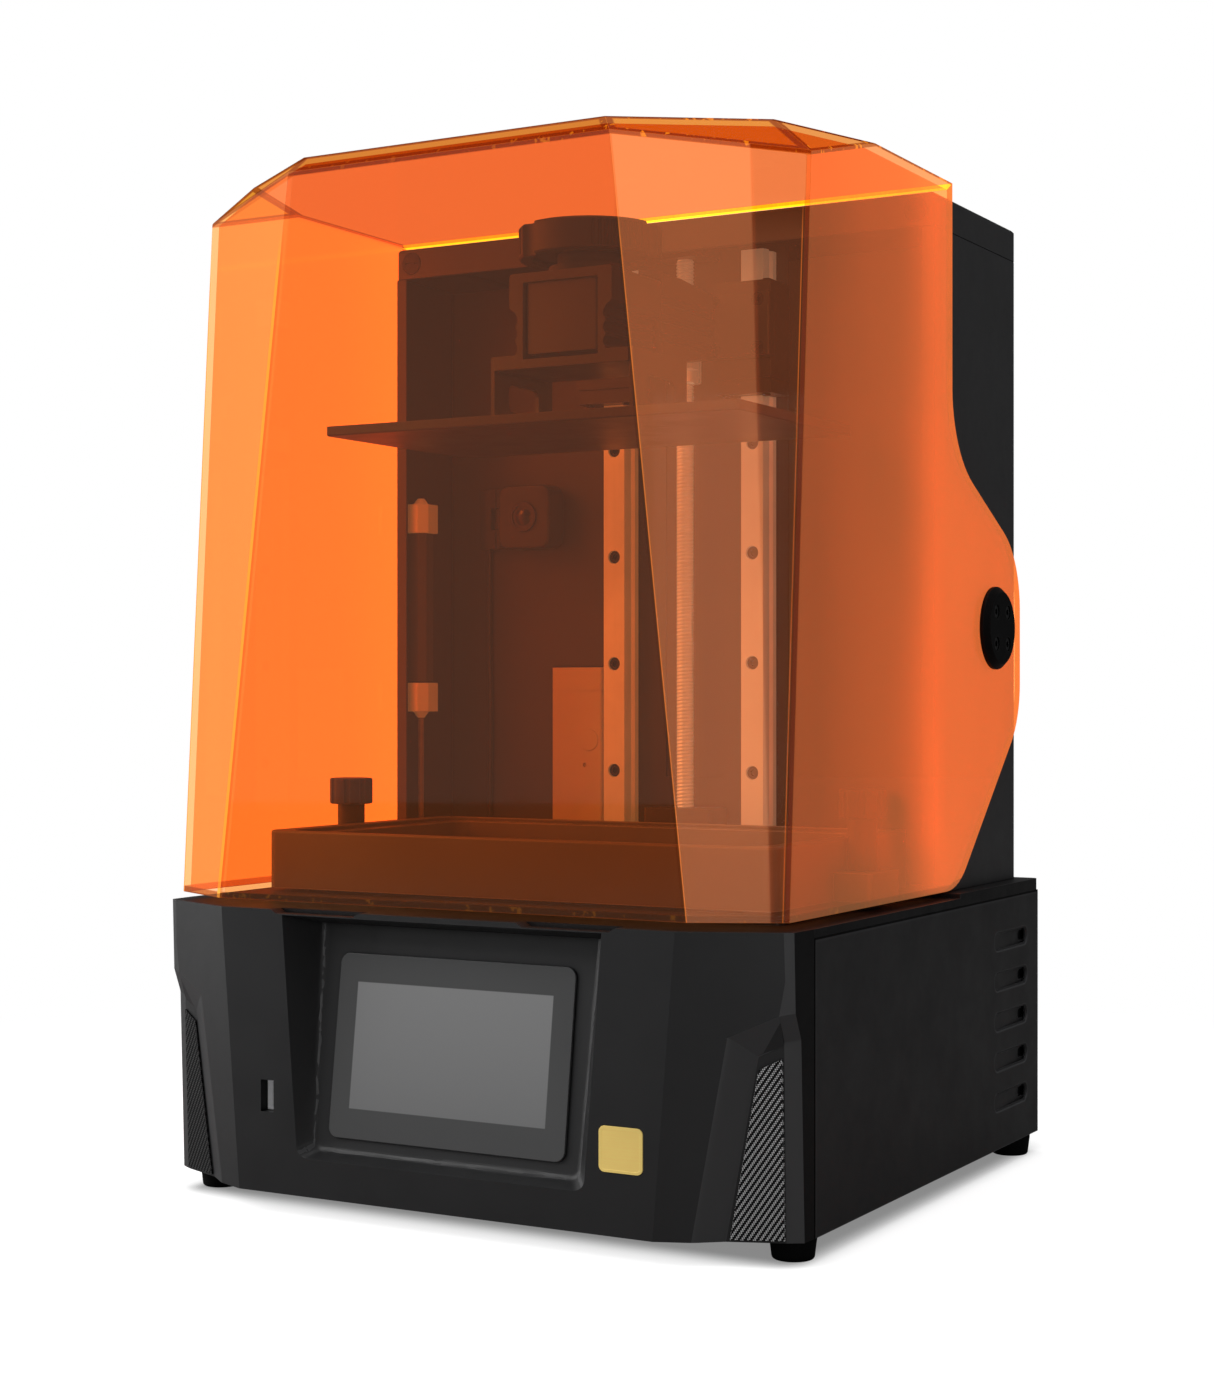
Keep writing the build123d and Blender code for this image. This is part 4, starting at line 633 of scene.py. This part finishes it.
def cover_glow(net, zone, streak):
    """Painted glow given off by the strips, then a faint painted veil added over whole faces."""
    # painted glints: bright bits along the brown strips, more to the right near the top
    shard = net.noise(scale=1.0, rough=0.6, at=net.stretch(210, 210, 150))
    to_right = net.mul(net.span(zone.x, start=0.02, end=0.10), zone.high, 0.75)
    bits = net.mul(net.span(shard, start=0.60, end=0.66), net.add(0.12, to_right))
    lip_colour = net.mix(net.span(zone.x, start=0.0, end=0.06),
                         (1.0, 1.25, 0.02), (0.95, 0.72, 0.015))
    glow = net.layers(
        BLACK,
        (net.mul(zone.brown, bits), (0.62, 0.20, 0.004)),
        (zone.amber, (0.40, 0.17, 0.006)),
        (zone.line, (0.42, 0.085, 0.004)),
        (zone.selvage, (0.05, 0.012, 0.002)),
        (zone.lip, lip_colour))
    # painted reflection on the pale part of the chamfers, stronger on the left
    pale = net.mul(zone.chamfer, zone.outer, zone.pale, net.add(1.0, net.mul(zone.left, 0.5)),
                   net.span(streak, start=0.25, end=0.75, low=0.92, high=1.08))
    # painted glow on the right chamfer's unlit part, rising with height
    dim = net.mul(zone.chamfer, zone.right, zone.outer, net.invert(zone.pale),
                  net.invert(zone.high))
    dim_colour = net.mix(net.span(zone.z, start=0.33, end=0.40),
                         (0.038, 0.0125, 0.0048), (0.064, 0.0235, 0.0115))
    # a faint painted glow on the front
    front = net.mul(zone.upright, net.below(zone.facing_x, 0.3), zone.outer)
    # painted veils: reflection on the pale chamfers and the sides, glow on the unlit right chamfer
    # and the front
    veils = (
        (pale, (0.125, 0.060, 0.028)),
        (net.mul(zone.side, zone.outer), (0.080, 0.056, 0.020)),
        (dim, dim_colour),
        (front, (0.024, 0.0110, 0.0038)),
    )
    for mask, colour in veils:
        glow = net.mix(1.0, glow, net.mix(mask, BLACK, colour), blend="ADD")
    return glow


def gloss_share(net, zone):
    """Surface reflection: outer side only, none in shadows, little on the top and chamfers."""
    fresnel = net.node("Fresnel", {"IOR": 1.49})
    backfacing = net.node("NewGeometry").outputs["Backfacing"]
    shadow = net.node("LightPath").outputs["Is Shadow Ray"]
    share = net.mul(fresnel, net.invert(backfacing))
    share = net.mul(share, net.invert(shadow))
    share = net.mul(share, net.invert(net.mul(net.above(zone.facing_z, 0.5), 0.92)))
    share = net.mul(share, net.invert(net.mul(zone.chamfer, 0.92)))
    return net.mul(share, 0.6)


def acrylic():
    """Tinted cast acrylic: coloured see-through, surface gloss, scatter with a painted orange
    glow, and bonded corners painted amber as highlight or brown as shade where the sheet is seen
    edge on, with painted reflections on the chamfers and sides."""
    net = material_net("acrylic_orange")
    zone = cover_zones(net)
    streak = net.noise(scale=1.0, detail=3.0, rough=0.55, at=net.stretch(9, 9, 3.5))
    scuff = net.noise(scale=90.0, detail=3.0, rough=0.6)
    clear = net.node("BsdfTransparent", {"Color": cover_tint(net, zone, streak)})
    scatter = net.mix(cover_share(net, zone, streak, HAZE), BLACK, HAZE_COLOUR)
    diffuse = net.node("BsdfDiffuse", {"Color": scatter})
    translucent = net.node("BsdfTranslucent", {"Color": scatter})
    # painted glow: the glow share given off as orange light
    painted_haze_glow = net.emission(HAZE_COLOUR, cover_share(net, zone, streak, GLOW))
    glow = net.emission(cover_glow(net, zone, streak), 1.0)
    body = net.add_shader(net.add_shader(clear, painted_haze_glow), net.add_shader(diffuse, translucent))
    body = net.add_shader(body, glow)
    gloss = net.node("BsdfGlossy", {
        "Color": (1, 0.97, 0.94),
        "Roughness": net.span(scuff, start=0.45, end=0.8, low=0.02, high=0.05)})
    return net.surface(net.mix_shader(gloss_share(net, zone), body, gloss))


def acrylic_edge(name, colour, strength, clear):
    """Where the sheet is cut or joined the tint is seen along the sheet; a painted glow stands in
    for the light it collects.

    clear is the share that is see-through.
    """
    net = material_net(name)
    saw = net.noise(scale=1.0, rough=0.6, at=net.stretch(900, 900, 260))
    slow = net.noise(scale=22.0, detail=3.0)
    tone = net.mix(net.span(slow, *MIDDLE), colour, scaled(colour, 0.72))
    # painted glow of the cut edge
    glow = net.emission(tone, net.span(saw, start=0.2, end=0.8, low=strength * 0.8,
                                       high=strength * 1.15))
    solid = net.bsdf(Base_Color=tone, Roughness=net.span(saw, *MIDDLE, low=0.18, high=0.34),
                     Normal=net.bump(saw, strength=0.15, distance=0.0001))
    see_through = net.node("BsdfTransparent", {"Color": (0.95, 0.42, 0.10)})
    return net.surface(net.mix_shader(clear, net.mix_shader(0.5, glow, solid), see_through))


# ---------------------------------------------------------------- materials of the pieces
MATERIALS = {
    "sheet_black": coated("powder_coat_black", (0.0125, 0.0125, 0.0135), rough=0.47,
                          grain=1500.0, bump=0.30, speck=0.10),
    # painted light: a lighter copy of the black coat, so the column stands brighter
    "column_black": coated("column_coat", (0.046, 0.046, 0.0475), rough=0.50, grain=1500.0,
                           bump=0.26, wear=0.08, speck=0.08),
    "case_black": coated("moulded_abs_black", (0.0155, 0.0155, 0.0165), rough=0.42,
                         grain=2100.0, bump=0.22, wear=0.06, rim=0.06, marks=facet_painted_light),
    "panel_black": coated("powder_coat_panel", (0.0135, 0.0135, 0.0145), rough=0.46,
                          grain=1500.0, bump=0.28, speck=0.08, rim=1.0, marks=panel_painted_light),
    "vat_metal": coated("bead_blasted_vat", (0.15, 0.15, 0.156), rough=0.42, grain=1800.0,
                        bump=0.18, wear=0.25, metallic=0.3, rim=0.5),
    "knob_black": coated("moulded_knob", (0.020, 0.020, 0.021), rough=0.45, grain=1500.0,
                         bump=0.2, rim=0.9),
    "hinge_black": coated("moulded_hinge", (0.003, 0.003, 0.0032), rough=0.5, grain=1500.0,
                          bump=0.2, wear=0.05, specular=0.10, rim=0.5),
    "bar_tube": frosted("light_bar_tube", (0.10, 0.098, 0.095)),
    # painted glow: the port's shell gives off a faint light of its own
    "port": metal("port_shell", (0.85, 0.85, 0.86), rough=0.34, stretch=(300, 300, 300),
                  bump=0.05, share=0.3, painted_glow=0.045),
    "carbon": carbon(),
    "screen_glass": display_glass(),
    "exposure": exposure_glass(),
    "module_grey": coated("module_grey", (0.12, 0.12, 0.122), rough=0.5, grain=1200.0,
                          bump=0.2, wear=0.15),
    # painted glow: the steel, rails and gold below give off a faint light of their own
    "steel": metal("ground_steel", (0.90, 0.89, 0.87), rough=0.28, stretch=(260, 260, 5),
                   share=0.6, painted_glow=0.07),
    "rail": metal("rail_steel", (0.93, 0.92, 0.90), rough=0.34, stretch=(420, 420, 4),
                  bump=0.08, share=0.40, painted_glow=0.11),
    "gold": metal("satin_gold", (0.95, 0.68, 0.20), rough=0.36, stretch=(35, 35, 1400),
                  bump=0.06, wear=0.2, share=0.25, painted_glow=0.30),
    "rubber": coated("moulded_rubber", (0.003, 0.003, 0.003), rough=0.78, grain=900.0,
                     bump=0.35, wear=0.02, specular=0.12),
    "circuit": circuit(),
    "aluminium": metal("mill_aluminium", (0.72, 0.73, 0.74), rough=0.38,
                       stretch=(20, 700, 700), bump=0.15, wear=0.25),
    "plastic_black": coated("glass_filled_nylon", (0.018, 0.018, 0.019), rough=0.50,
                            grain=1100.0, bump=0.34, wear=0.08),
    "dark_metal": coated("black_anodised", (0.064, 0.064, 0.068), rough=0.36, grain=2600.0,
                         bump=0.14, wear=0.30, metallic=0.55),
    "plate_metal": coated("bead_blasted_plate", (0.052, 0.051, 0.052), rough=0.42,
                          grain=1800.0, bump=0.22, wear=0.30, metallic=0.45),
    "oxide": coated("black_oxide_steel", (0.030, 0.030, 0.032), rough=0.34, grain=1900.0,
                    bump=0.10, wear=0.25, metallic=0.7),
    "cover_orange": acrylic(),
    "film": release_film(),
    "lamp_white": frosted("frosted_diffuser", (0.70, 0.69, 0.66)),
    # painted glow on the light bar's caps
    "cap_white": frosted("moulded_cap", (0.86, 0.85, 0.82), glow=0.06),
    "lens": lens_glass(),
    "plastic_white": frosted("purifier_white", (0.76, 0.76, 0.74)),
    # painted glow on the cover's cut edges, low edges and folds
    "edge_roof": acrylic_edge("acrylic_cut_roof", (1.0, 0.86, 0.004), strength=3.4, clear=0.05),
    "edge_cut": acrylic_edge("acrylic_cut_edge", (1.0, 0.30, 0.03), strength=0.75, clear=0.35),
    "edge_low": acrylic_edge("acrylic_cut_low", (0.45, 0.09, 0.01), strength=0.30, clear=0.35),
    "edge_fold": acrylic_edge("acrylic_fold", (1.0, 0.36, 0.03), strength=0.60, clear=0.62),
    "cable_grey": pvc("cable_grey", (0.30, 0.29, 0.28)),
    "cable_black": pvc("cable_black", (0.02, 0.02, 0.021)),
    "wire_red": pvc("wire_red", (0.5, 0.02, 0.015)),
}

# a piece takes the material of its slot, unless it is listed here under another
material_of = {part["node"]: part["material_slot"] for part in frame["record"]["subparts"]}
OWN_MATERIALS = {
    "vat_metal": "vat_frame",
    "knob_black": "vat_knob_left vat_knob_right",
    "hinge_black": "hinge_disc_left hinge_disc_right",
    "bar_tube": "light_bar",
    "panel_black": "side_panel_left side_panel_right",
    "port": "usb_port",
    "column_black": "column_shell column_cap",
    "exposure": "exposure_screen",
    "rail": "linear_rails",
    "cap_white": "light_bar_caps",
    "plate_metal": "build_plate",
    "oxide": "carriage_screws plate_screws fixed_screws hinge_screws",
}
for key, names in OWN_MATERIALS.items():
    material_of.update(dict.fromkeys(names.split(), key))
for name, piece in nodes.items():
    piece.data.materials.clear()
    piece.data.materials.append(MATERIALS[material_of[name]])
    for face in piece.data.polygons:
        face.material_index = 0


# ---------------------------------------------------------------- edges of the CAD pieces
def edge_tree(angle):
    """Joins the seams of the tessellation and marks edges above angle (degrees) as sharp."""
    tree = bpy.data.node_groups.new("join_and_mark", "GeometryNodeTree")
    for direction in ("INPUT", "OUTPUT"):
        tree.interface.new_socket("Geometry", in_out=direction,
                                  socket_type="NodeSocketGeometry")
    start = tree.nodes.new("NodeGroupInput")
    end = tree.nodes.new("NodeGroupOutput")
    merge = tree.nodes.new("GeometryNodeMergeByDistance")
    merge.inputs["Distance"].default_value = 2e-6
    smooth = tree.nodes.new("GeometryNodeSetShadeSmooth")
    smooth.domain = "FACE"
    smooth.inputs["Shade Smooth"].default_value = True
    sharp = tree.nodes.new("GeometryNodeSetShadeSmooth")
    sharp.domain = "EDGE"
    sharp.inputs["Shade Smooth"].default_value = False
    edge_angle = tree.nodes.new("GeometryNodeInputMeshEdgeAngle")
    compare = tree.nodes.new("FunctionNodeCompare")
    compare.data_type = "FLOAT"
    compare.operation = "GREATER_THAN"
    compare.inputs[1].default_value = math.radians(angle)
    link = tree.links.new
    link(start.outputs[0], merge.inputs["Geometry"])
    link(merge.outputs[0], smooth.inputs["Geometry"])
    link(smooth.outputs[0], sharp.inputs["Geometry"])
    link(edge_angle.outputs["Unsigned Angle"], compare.inputs[0])
    link(compare.outputs[0], sharp.inputs["Selection"])
    link(sharp.outputs[0], end.inputs[0])
    return tree


def add_dissolve(piece, angle):
    """Merges faces that lie within angle (degrees) of one plane."""
    flat = piece.modifiers.new("flat", "DECIMATE")
    flat.decimate_type = "DISSOLVE"
    flat.angle_limit = math.radians(angle)
    flat.delimit = {"SHARP", "MATERIAL"}


def add_bevel(piece, width, angle, harden=True, material=-1):
    """Rounds the edges that turn by more than angle (degrees)."""
    bevel = piece.modifiers.new("edges", "BEVEL")
    bevel.limit_method = "ANGLE"
    bevel.angle_limit = math.radians(angle)
    bevel.width = width
    bevel.segments = 2
    bevel.material = material
    bevel.use_clamp_overlap = True
    bevel.harden_normals = harden
    bevel.miter_outer = "MITER_SHARP"


BEVEL_WIDTH = 0.00018
# pieces with a wider bevel
WIDE_BEVELS = {
    0.0003: "base_tray clamp_knob linear_rails badge_plate bearing_blocks purifier_case "
            "camera_body",
    0.0004: "touch_glass carriage_plate plate_mount light_bar_caps rear_panel "
            "column_rear_cover",
    0.0005: "build_plate side_panel_left side_panel_right deck_plate column_shell "
            "hinge_disc_left hinge_disc_right",
    0.0006: "front_fascia column_cap rubber_feet carriage_arm plate_holder",
    0.0007: "vat_frame",
}
bevel_widths = {name: width for width, names in WIDE_BEVELS.items() for name in names.split()}
# pieces whose shallow creases stay sharp
CREASED = {"front_fascia", "side_panel_left", "side_panel_right"}
# the cover gets its own bevel below
NO_BEVEL = {"vat_film", "camera_lens", "uv_led_board", "mainboard", "ball_screw", "cover_shell"}

usual_tree = edge_tree(angle=24)
crease_tree = edge_tree(angle=9)
for name, piece in nodes.items():
    bpy.context.view_layer.objects.active = piece
    if piece.data.has_custom_normals:
        bpy.ops.mesh.customdata_custom_splitnormals_clear()
    join = piece.modifiers.new("join", "NODES")
    join.node_group = crease_tree if name in CREASED else usual_tree
    if name not in NO_BEVEL:
        add_dissolve(piece, angle=0.35)
        add_bevel(piece, bevel_widths.get(name, BEVEL_WIDTH), angle=32)

# ---------------------------------------------------------------- the cover's faces
COVER_MATERIALS = ("cover_orange", "edge_cut", "edge_roof", "edge_low", "edge_fold")


def wall_normals():
    """The cover's wall directions, mirrored left to right and facing both out and in."""
    walls = []
    for _, normal in COVER.values():
        normal = Vector(normal).normalized()
        for mirror in (1, -1):
            for sign in (1, -1):
                walls.append(Vector((normal.x * mirror, normal.y, normal.z)) * sign)
    return walls


def cover_material(normal, centre, walls):
    """The key of a face's material: a wall, or a cut edge by its place."""
    on_wall = max(normal.dot(wall) for wall in walls) > 0.9995
    rear_cut = normal.y > 0.999 and centre.y > 0.04
    level_cut = abs(normal.z) > 0.999 and centre.z < 0.4
    if on_wall and not rear_cut and not level_cut:
        return "cover_orange"
    if centre.z < 0.156:
        return "edge_low"
    if normal.y > 0.9 and centre.z > 0.495:
        return "edge_roof"
    return "edge_cut"


cover = nodes["cover_shell"]
cover.data.materials.clear()
for key in COVER_MATERIALS:
    cover.data.materials.append(MATERIALS[key])
cover_walls = wall_normals()
for face in cover.data.polygons:
    key = cover_material(face.normal, face.center, cover_walls)
    face.material_index = COVER_MATERIALS.index(key)
add_dissolve(cover, angle=0.2)
add_bevel(cover, width=0.0007, angle=14, harden=False,
          material=COVER_MATERIALS.index("edge_fold"))


# ---------------------------------------------------------------- pieces made here
def add_piece(name, mesh, material, body):
    piece = bpy.data.objects.new(name, mesh)
    scene.collection.objects.link(piece)
    mesh.materials.append(material)
    for face in mesh.polygons:
        face.use_smooth = True
    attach(piece, body)
    return piece


SCREW_X, SCREW_Y = 0.0, 0.082
THREAD_BOTTOM, THREAD_TOP = 0.189, 0.492
LEAD = 0.002
RINGS_PER_LEAD = 8
SCREW_SEGMENTS = 20
JOURNAL_RADIUS = 0.003175
SHAFT_RADIUS = 0.004
THREAD_END_RADIUS = 0.0046
# thread profile over one lead: share of the lead, radius in mm
THREAD_PROFILE = [(0.0, 5.0), (0.22, 5.0), (0.34, 4.74), (0.48, 4.42),
                  (0.61, 4.30), (0.74, 4.42), (0.88, 4.74), (1.0, 5.0)]


def thread_radius(turns):
    share = turns % 1.0
    for (start, r_start), (end, r_end) in zip(THREAD_PROFILE, THREAD_PROFILE[1:]):
        if start <= share <= end:
            return (r_start + (r_end - r_start) * (share - start) / (end - start)) / 1000


def screw_levels():
    """Rings from the bottom up: height, and radius or None where the thread sets it."""
    low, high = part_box("ball_screw")
    rings = int(round((THREAD_TOP - THREAD_BOTTOM) / LEAD * RINGS_PER_LEAD))
    return [
        (low.z, 0.0027),
        (low.z + 0.0005, JOURNAL_RADIUS),
        (0.1748, JOURNAL_RADIUS),
        (0.1752, SHAFT_RADIUS),
        (THREAD_BOTTOM - 0.0004, SHAFT_RADIUS),
        (THREAD_BOTTOM, THREAD_END_RADIUS),
        *((THREAD_BOTTOM + k * LEAD / RINGS_PER_LEAD, None) for k in range(1, rings)),
        (THREAD_TOP, THREAD_END_RADIUS),
        (THREAD_TOP + 0.0004, SHAFT_RADIUS),
        (high.z - 0.0005, SHAFT_RADIUS),
        (high.z, 0.0035),
    ]


def ball_screw():
    """The ball screw with its helical groove, each point's radius following the helix."""
    count = SCREW_SEGMENTS
    levels = screw_levels()
    verts, faces = [], []
    for z, radius in levels:
        for i in range(count):
            angle = 2 * math.pi * i / count
            r_here = radius
            if radius is None:
                r_here = thread_radius((z - THREAD_BOTTOM) / LEAD - i / count)
            verts.append((SCREW_X + r_here * math.cos(angle),
                          SCREW_Y + r_here * math.sin(angle), z))
    for k in range(len(levels) - 1):
        low, high = k * count, (k + 1) * count
        for i in range(count):
            j = (i + 1) % count
            faces.append((low + i, low + j, high + j, high + i))
    faces.append(tuple(reversed(range(count))))
    faces.append(tuple(range((len(levels) - 1) * count, len(levels) * count)))

    name = "ball_screw_thread"
    mesh = bpy.data.meshes.new(name)
    mesh.from_pydata(verts, [], faces)
    mesh.validate()
    work = bmesh.new()
    work.from_mesh(mesh)
    bmesh.ops.recalc_face_normals(work, faces=work.faces)
    work.to_mesh(mesh)
    work.free()
    return add_piece(name, mesh, MATERIALS["steel"], "lead_screw")


def cable(name, points, radius, material):
    """A round cable along the points (mm), with closed ends."""
    curve = bpy.data.curves.new(name, "CURVE")
    curve.dimensions = "3D"
    curve.bevel_depth = radius
    curve.bevel_resolution = 3
    curve.resolution_u = 8
    curve.use_fill_caps = True
    spline = curve.splines.new("NURBS")
    spline.points.add(len(points) - 1)
    for knot, point in zip(spline.points, points):
        knot.co = (*(c / 1000 for c in point), 1.0)
    spline.use_endpoint_u = True
    spline.order_u = 4
    helper = bpy.data.objects.new(name + "_c", curve)
    scene.collection.objects.link(helper)
    depsgraph = bpy.context.evaluated_depsgraph_get()
    mesh = bpy.data.meshes.new_from_object(helper.evaluated_get(depsgraph))
    bpy.data.objects.remove(helper)
    mesh.name = name
    mesh.materials.clear()
    add_piece(name, mesh, material, "base")


# x, y, z in mm, from the top down
LIGHT_BAR_CABLE = [
    (-155.4, 51.0, 240.0), (-155.4, 51.0, 225.0), (-155.6, 51.2, 200.0),
    (-155.2, 50.6, 175.0), (-155.4, 51.0, 160.0), (-155.4, 51.0, 147.0),
]
CAMERA_CABLE = [
    (-134.0, 90.8, 338.0), (-134.0, 90.8, 322.0), (-134.6, 91.0, 280.0),
    (-133.2, 91.2, 235.0), (-134.4, 91.0, 190.0), (-134.0, 91.2, 168.0),
    (-134.0, 91.2, 148.0),
]
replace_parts(ball_screw(), "ball_screw")
cable("light_bar_cable", LIGHT_BAR_CABLE, radius=0.0017, material=MATERIALS["cable_grey"])
cable("camera_cable", CAMERA_CABLE, radius=0.0014, material=MATERIALS["cable_black"])

# ---------------------------------------------------------------- floor, world, light, camera
FLOOR_RADIUS = 6.0
FLOOR_SEGMENTS = 64


def floor_material():
    """White floor with a painted shadow under the printer; it lights the printer only as a mid
    grey.
    """
    net = material_net("studio_floor")
    place = net.node("NewGeometry").outputs["Position"]
    distance = net.vec("LENGTH", net.vec("MULTIPLY", place, (1, 1, 0)))
    away = net.span(distance, start=0.30, end=0.75, smooth=True)
    grain = net.noise(scale=40.0, detail=3.0, at=place)
    # painted contact shadow from occlusion
    open_air = net.span(net.occlusion(distance=0.045, samples=8),
                        start=0.35, end=0.92, low=0.30)
    x, y, _ = net.split(place)
    # painted shadow: the area under the printer, fading at its front, right and left
    under = net.mul(net.span(y, start=-0.156, end=-0.128, smooth=True),
                    net.span(x, start=0.160, end=0.184, low=1.0, high=0.0, smooth=True),
                    net.span(x, start=-0.19, end=-0.165))
    light = net.invert(net.mul(under, net.invert(open_air)))
    white = net.mix(grain, (0.90, 0.90, 0.90), (0.94, 0.94, 0.94))
    diffuse = net.node("BsdfDiffuse", {"Color": net.mix(light, BLACK, white)})
    near = net.add_shader(diffuse, net.emission(WHITE, net.mul(light, 0.80)))
    seen = net.mix_shader(away, near, net.emission(WHITE, 1.0))
    grey = net.mix(grain, (0.30, 0.30, 0.30), (0.36, 0.36, 0.36))
    unseen = net.node("BsdfDiffuse", {"Color": grey})
    camera_ray = net.node("LightPath").outputs["Is Camera Ray"]
    return net.surface(net.mix_shader(camera_ray, unseen, seen))


def make_floor():
    mesh = bpy.data.meshes.new("floor")
    angles = [2 * math.pi * i / FLOOR_SEGMENTS for i in range(FLOOR_SEGMENTS)]
    ring = [(FLOOR_RADIUS * math.cos(a), FLOOR_RADIUS * math.sin(a), 0.0) for a in angles]
    mesh.from_pydata(ring, [], [tuple(range(FLOOR_SEGMENTS))])
    floor = bpy.data.objects.new("floor", mesh)
    scene.collection.objects.link(floor)
    mesh.materials.append(floor_material())


def make_world():
    """White to the camera; to the printer a dim room, brighter above and at the front left."""
    world = bpy.data.worlds.new("studio")
    scene.world = world
    net = NodeNet(world, "World")
    direction = net.node("TexCoord").outputs["Generated"]
    upward = net.span(net.split(direction)[2], start=-0.2, end=1.0)
    leftward = net.span(net.vec("DOT_PRODUCT", direction, (-0.80, -0.55, 0.25)),
                        start=0.1, end=1.0, smooth=True)
    room = net.mix(upward, (0.045, 0.045, 0.046), (0.17, 0.17, 0.17))
    room = net.mix(leftward, room, (0.46, 0.46, 0.46))
    unseen = net.node("Background", {"Color": room, "Strength": 1.0})
    seen = net.node("Background", {"Color": WHITE, "Strength": 1.0})
    camera_ray = net.node("LightPath").outputs["Is Camera Ray"]
    net.surface(net.mix_shader(camera_ray, unseen, seen))


def aim(thing, direction):
    thing.rotation_mode = "QUATERNION"
    thing.rotation_quaternion = direction.to_track_quat("-Z", "Y")


# area lights: name, place, target, width and height, power in watts
LIGHTS = [
    ("key", (-1.5, -1.5, 1.6), (0, 0, 0.2), (1.1, 1.1), 13),
    ("top", (0.1, 0.0, 2.2), (0, 0, 0.2), (1.6, 1.6), 10),
    ("left", (-2.3, -0.75, 0.7), (0, 0, 0.2), (1.0, 1.8), 16),
    ("right", (2.2, 0.3, 0.9), (0, 0, 0.25), (0.9, 1.6), 2.6),
    ("front_right", (1.55, -2.45, 0.45), (0.1, -0.1, 0.2), (0.45, 1.2), 6.0),
]


def make_lights():
    for name, place, target, size, power in LIGHTS:
        light = bpy.data.lights.new(name, "AREA")
        light.shape = "RECTANGLE"
        light.size, light.size_y = size
        light.energy = power
        lamp = bpy.data.objects.new(name, light)
        scene.collection.objects.link(lamp)
        lamp.location = place
        aim(lamp, Vector(target) - Vector(place))


def make_camera():
    """A level camera, to the right of the front."""
    lens = bpy.data.cameras.new("cam")
    lens.lens = 61.15
    lens.sensor_width = 36.0
    lens.clip_start = 0.01
    lens.clip_end = 50.0
    camera = bpy.data.objects.new("cam", lens)
    scene.collection.objects.link(camera)
    camera.location = (0.60463, -1.07952, 0.25185)
    aim(camera, Vector((-0.4909, 0.8712, 0.0)))
    scene.camera = camera


make_floor()
make_world()
make_lights()
make_camera()

scene.view_settings.view_transform = "Standard"
scene.view_settings.look = "None"
scene.cycles.transparent_max_bounces = 32
scene.cycles.max_bounces = 10
scene.cycles.transmission_bounces = 8
scene.cycles.diffuse_bounces = 4
scene.cycles.sample_clamp_indirect = 6.0
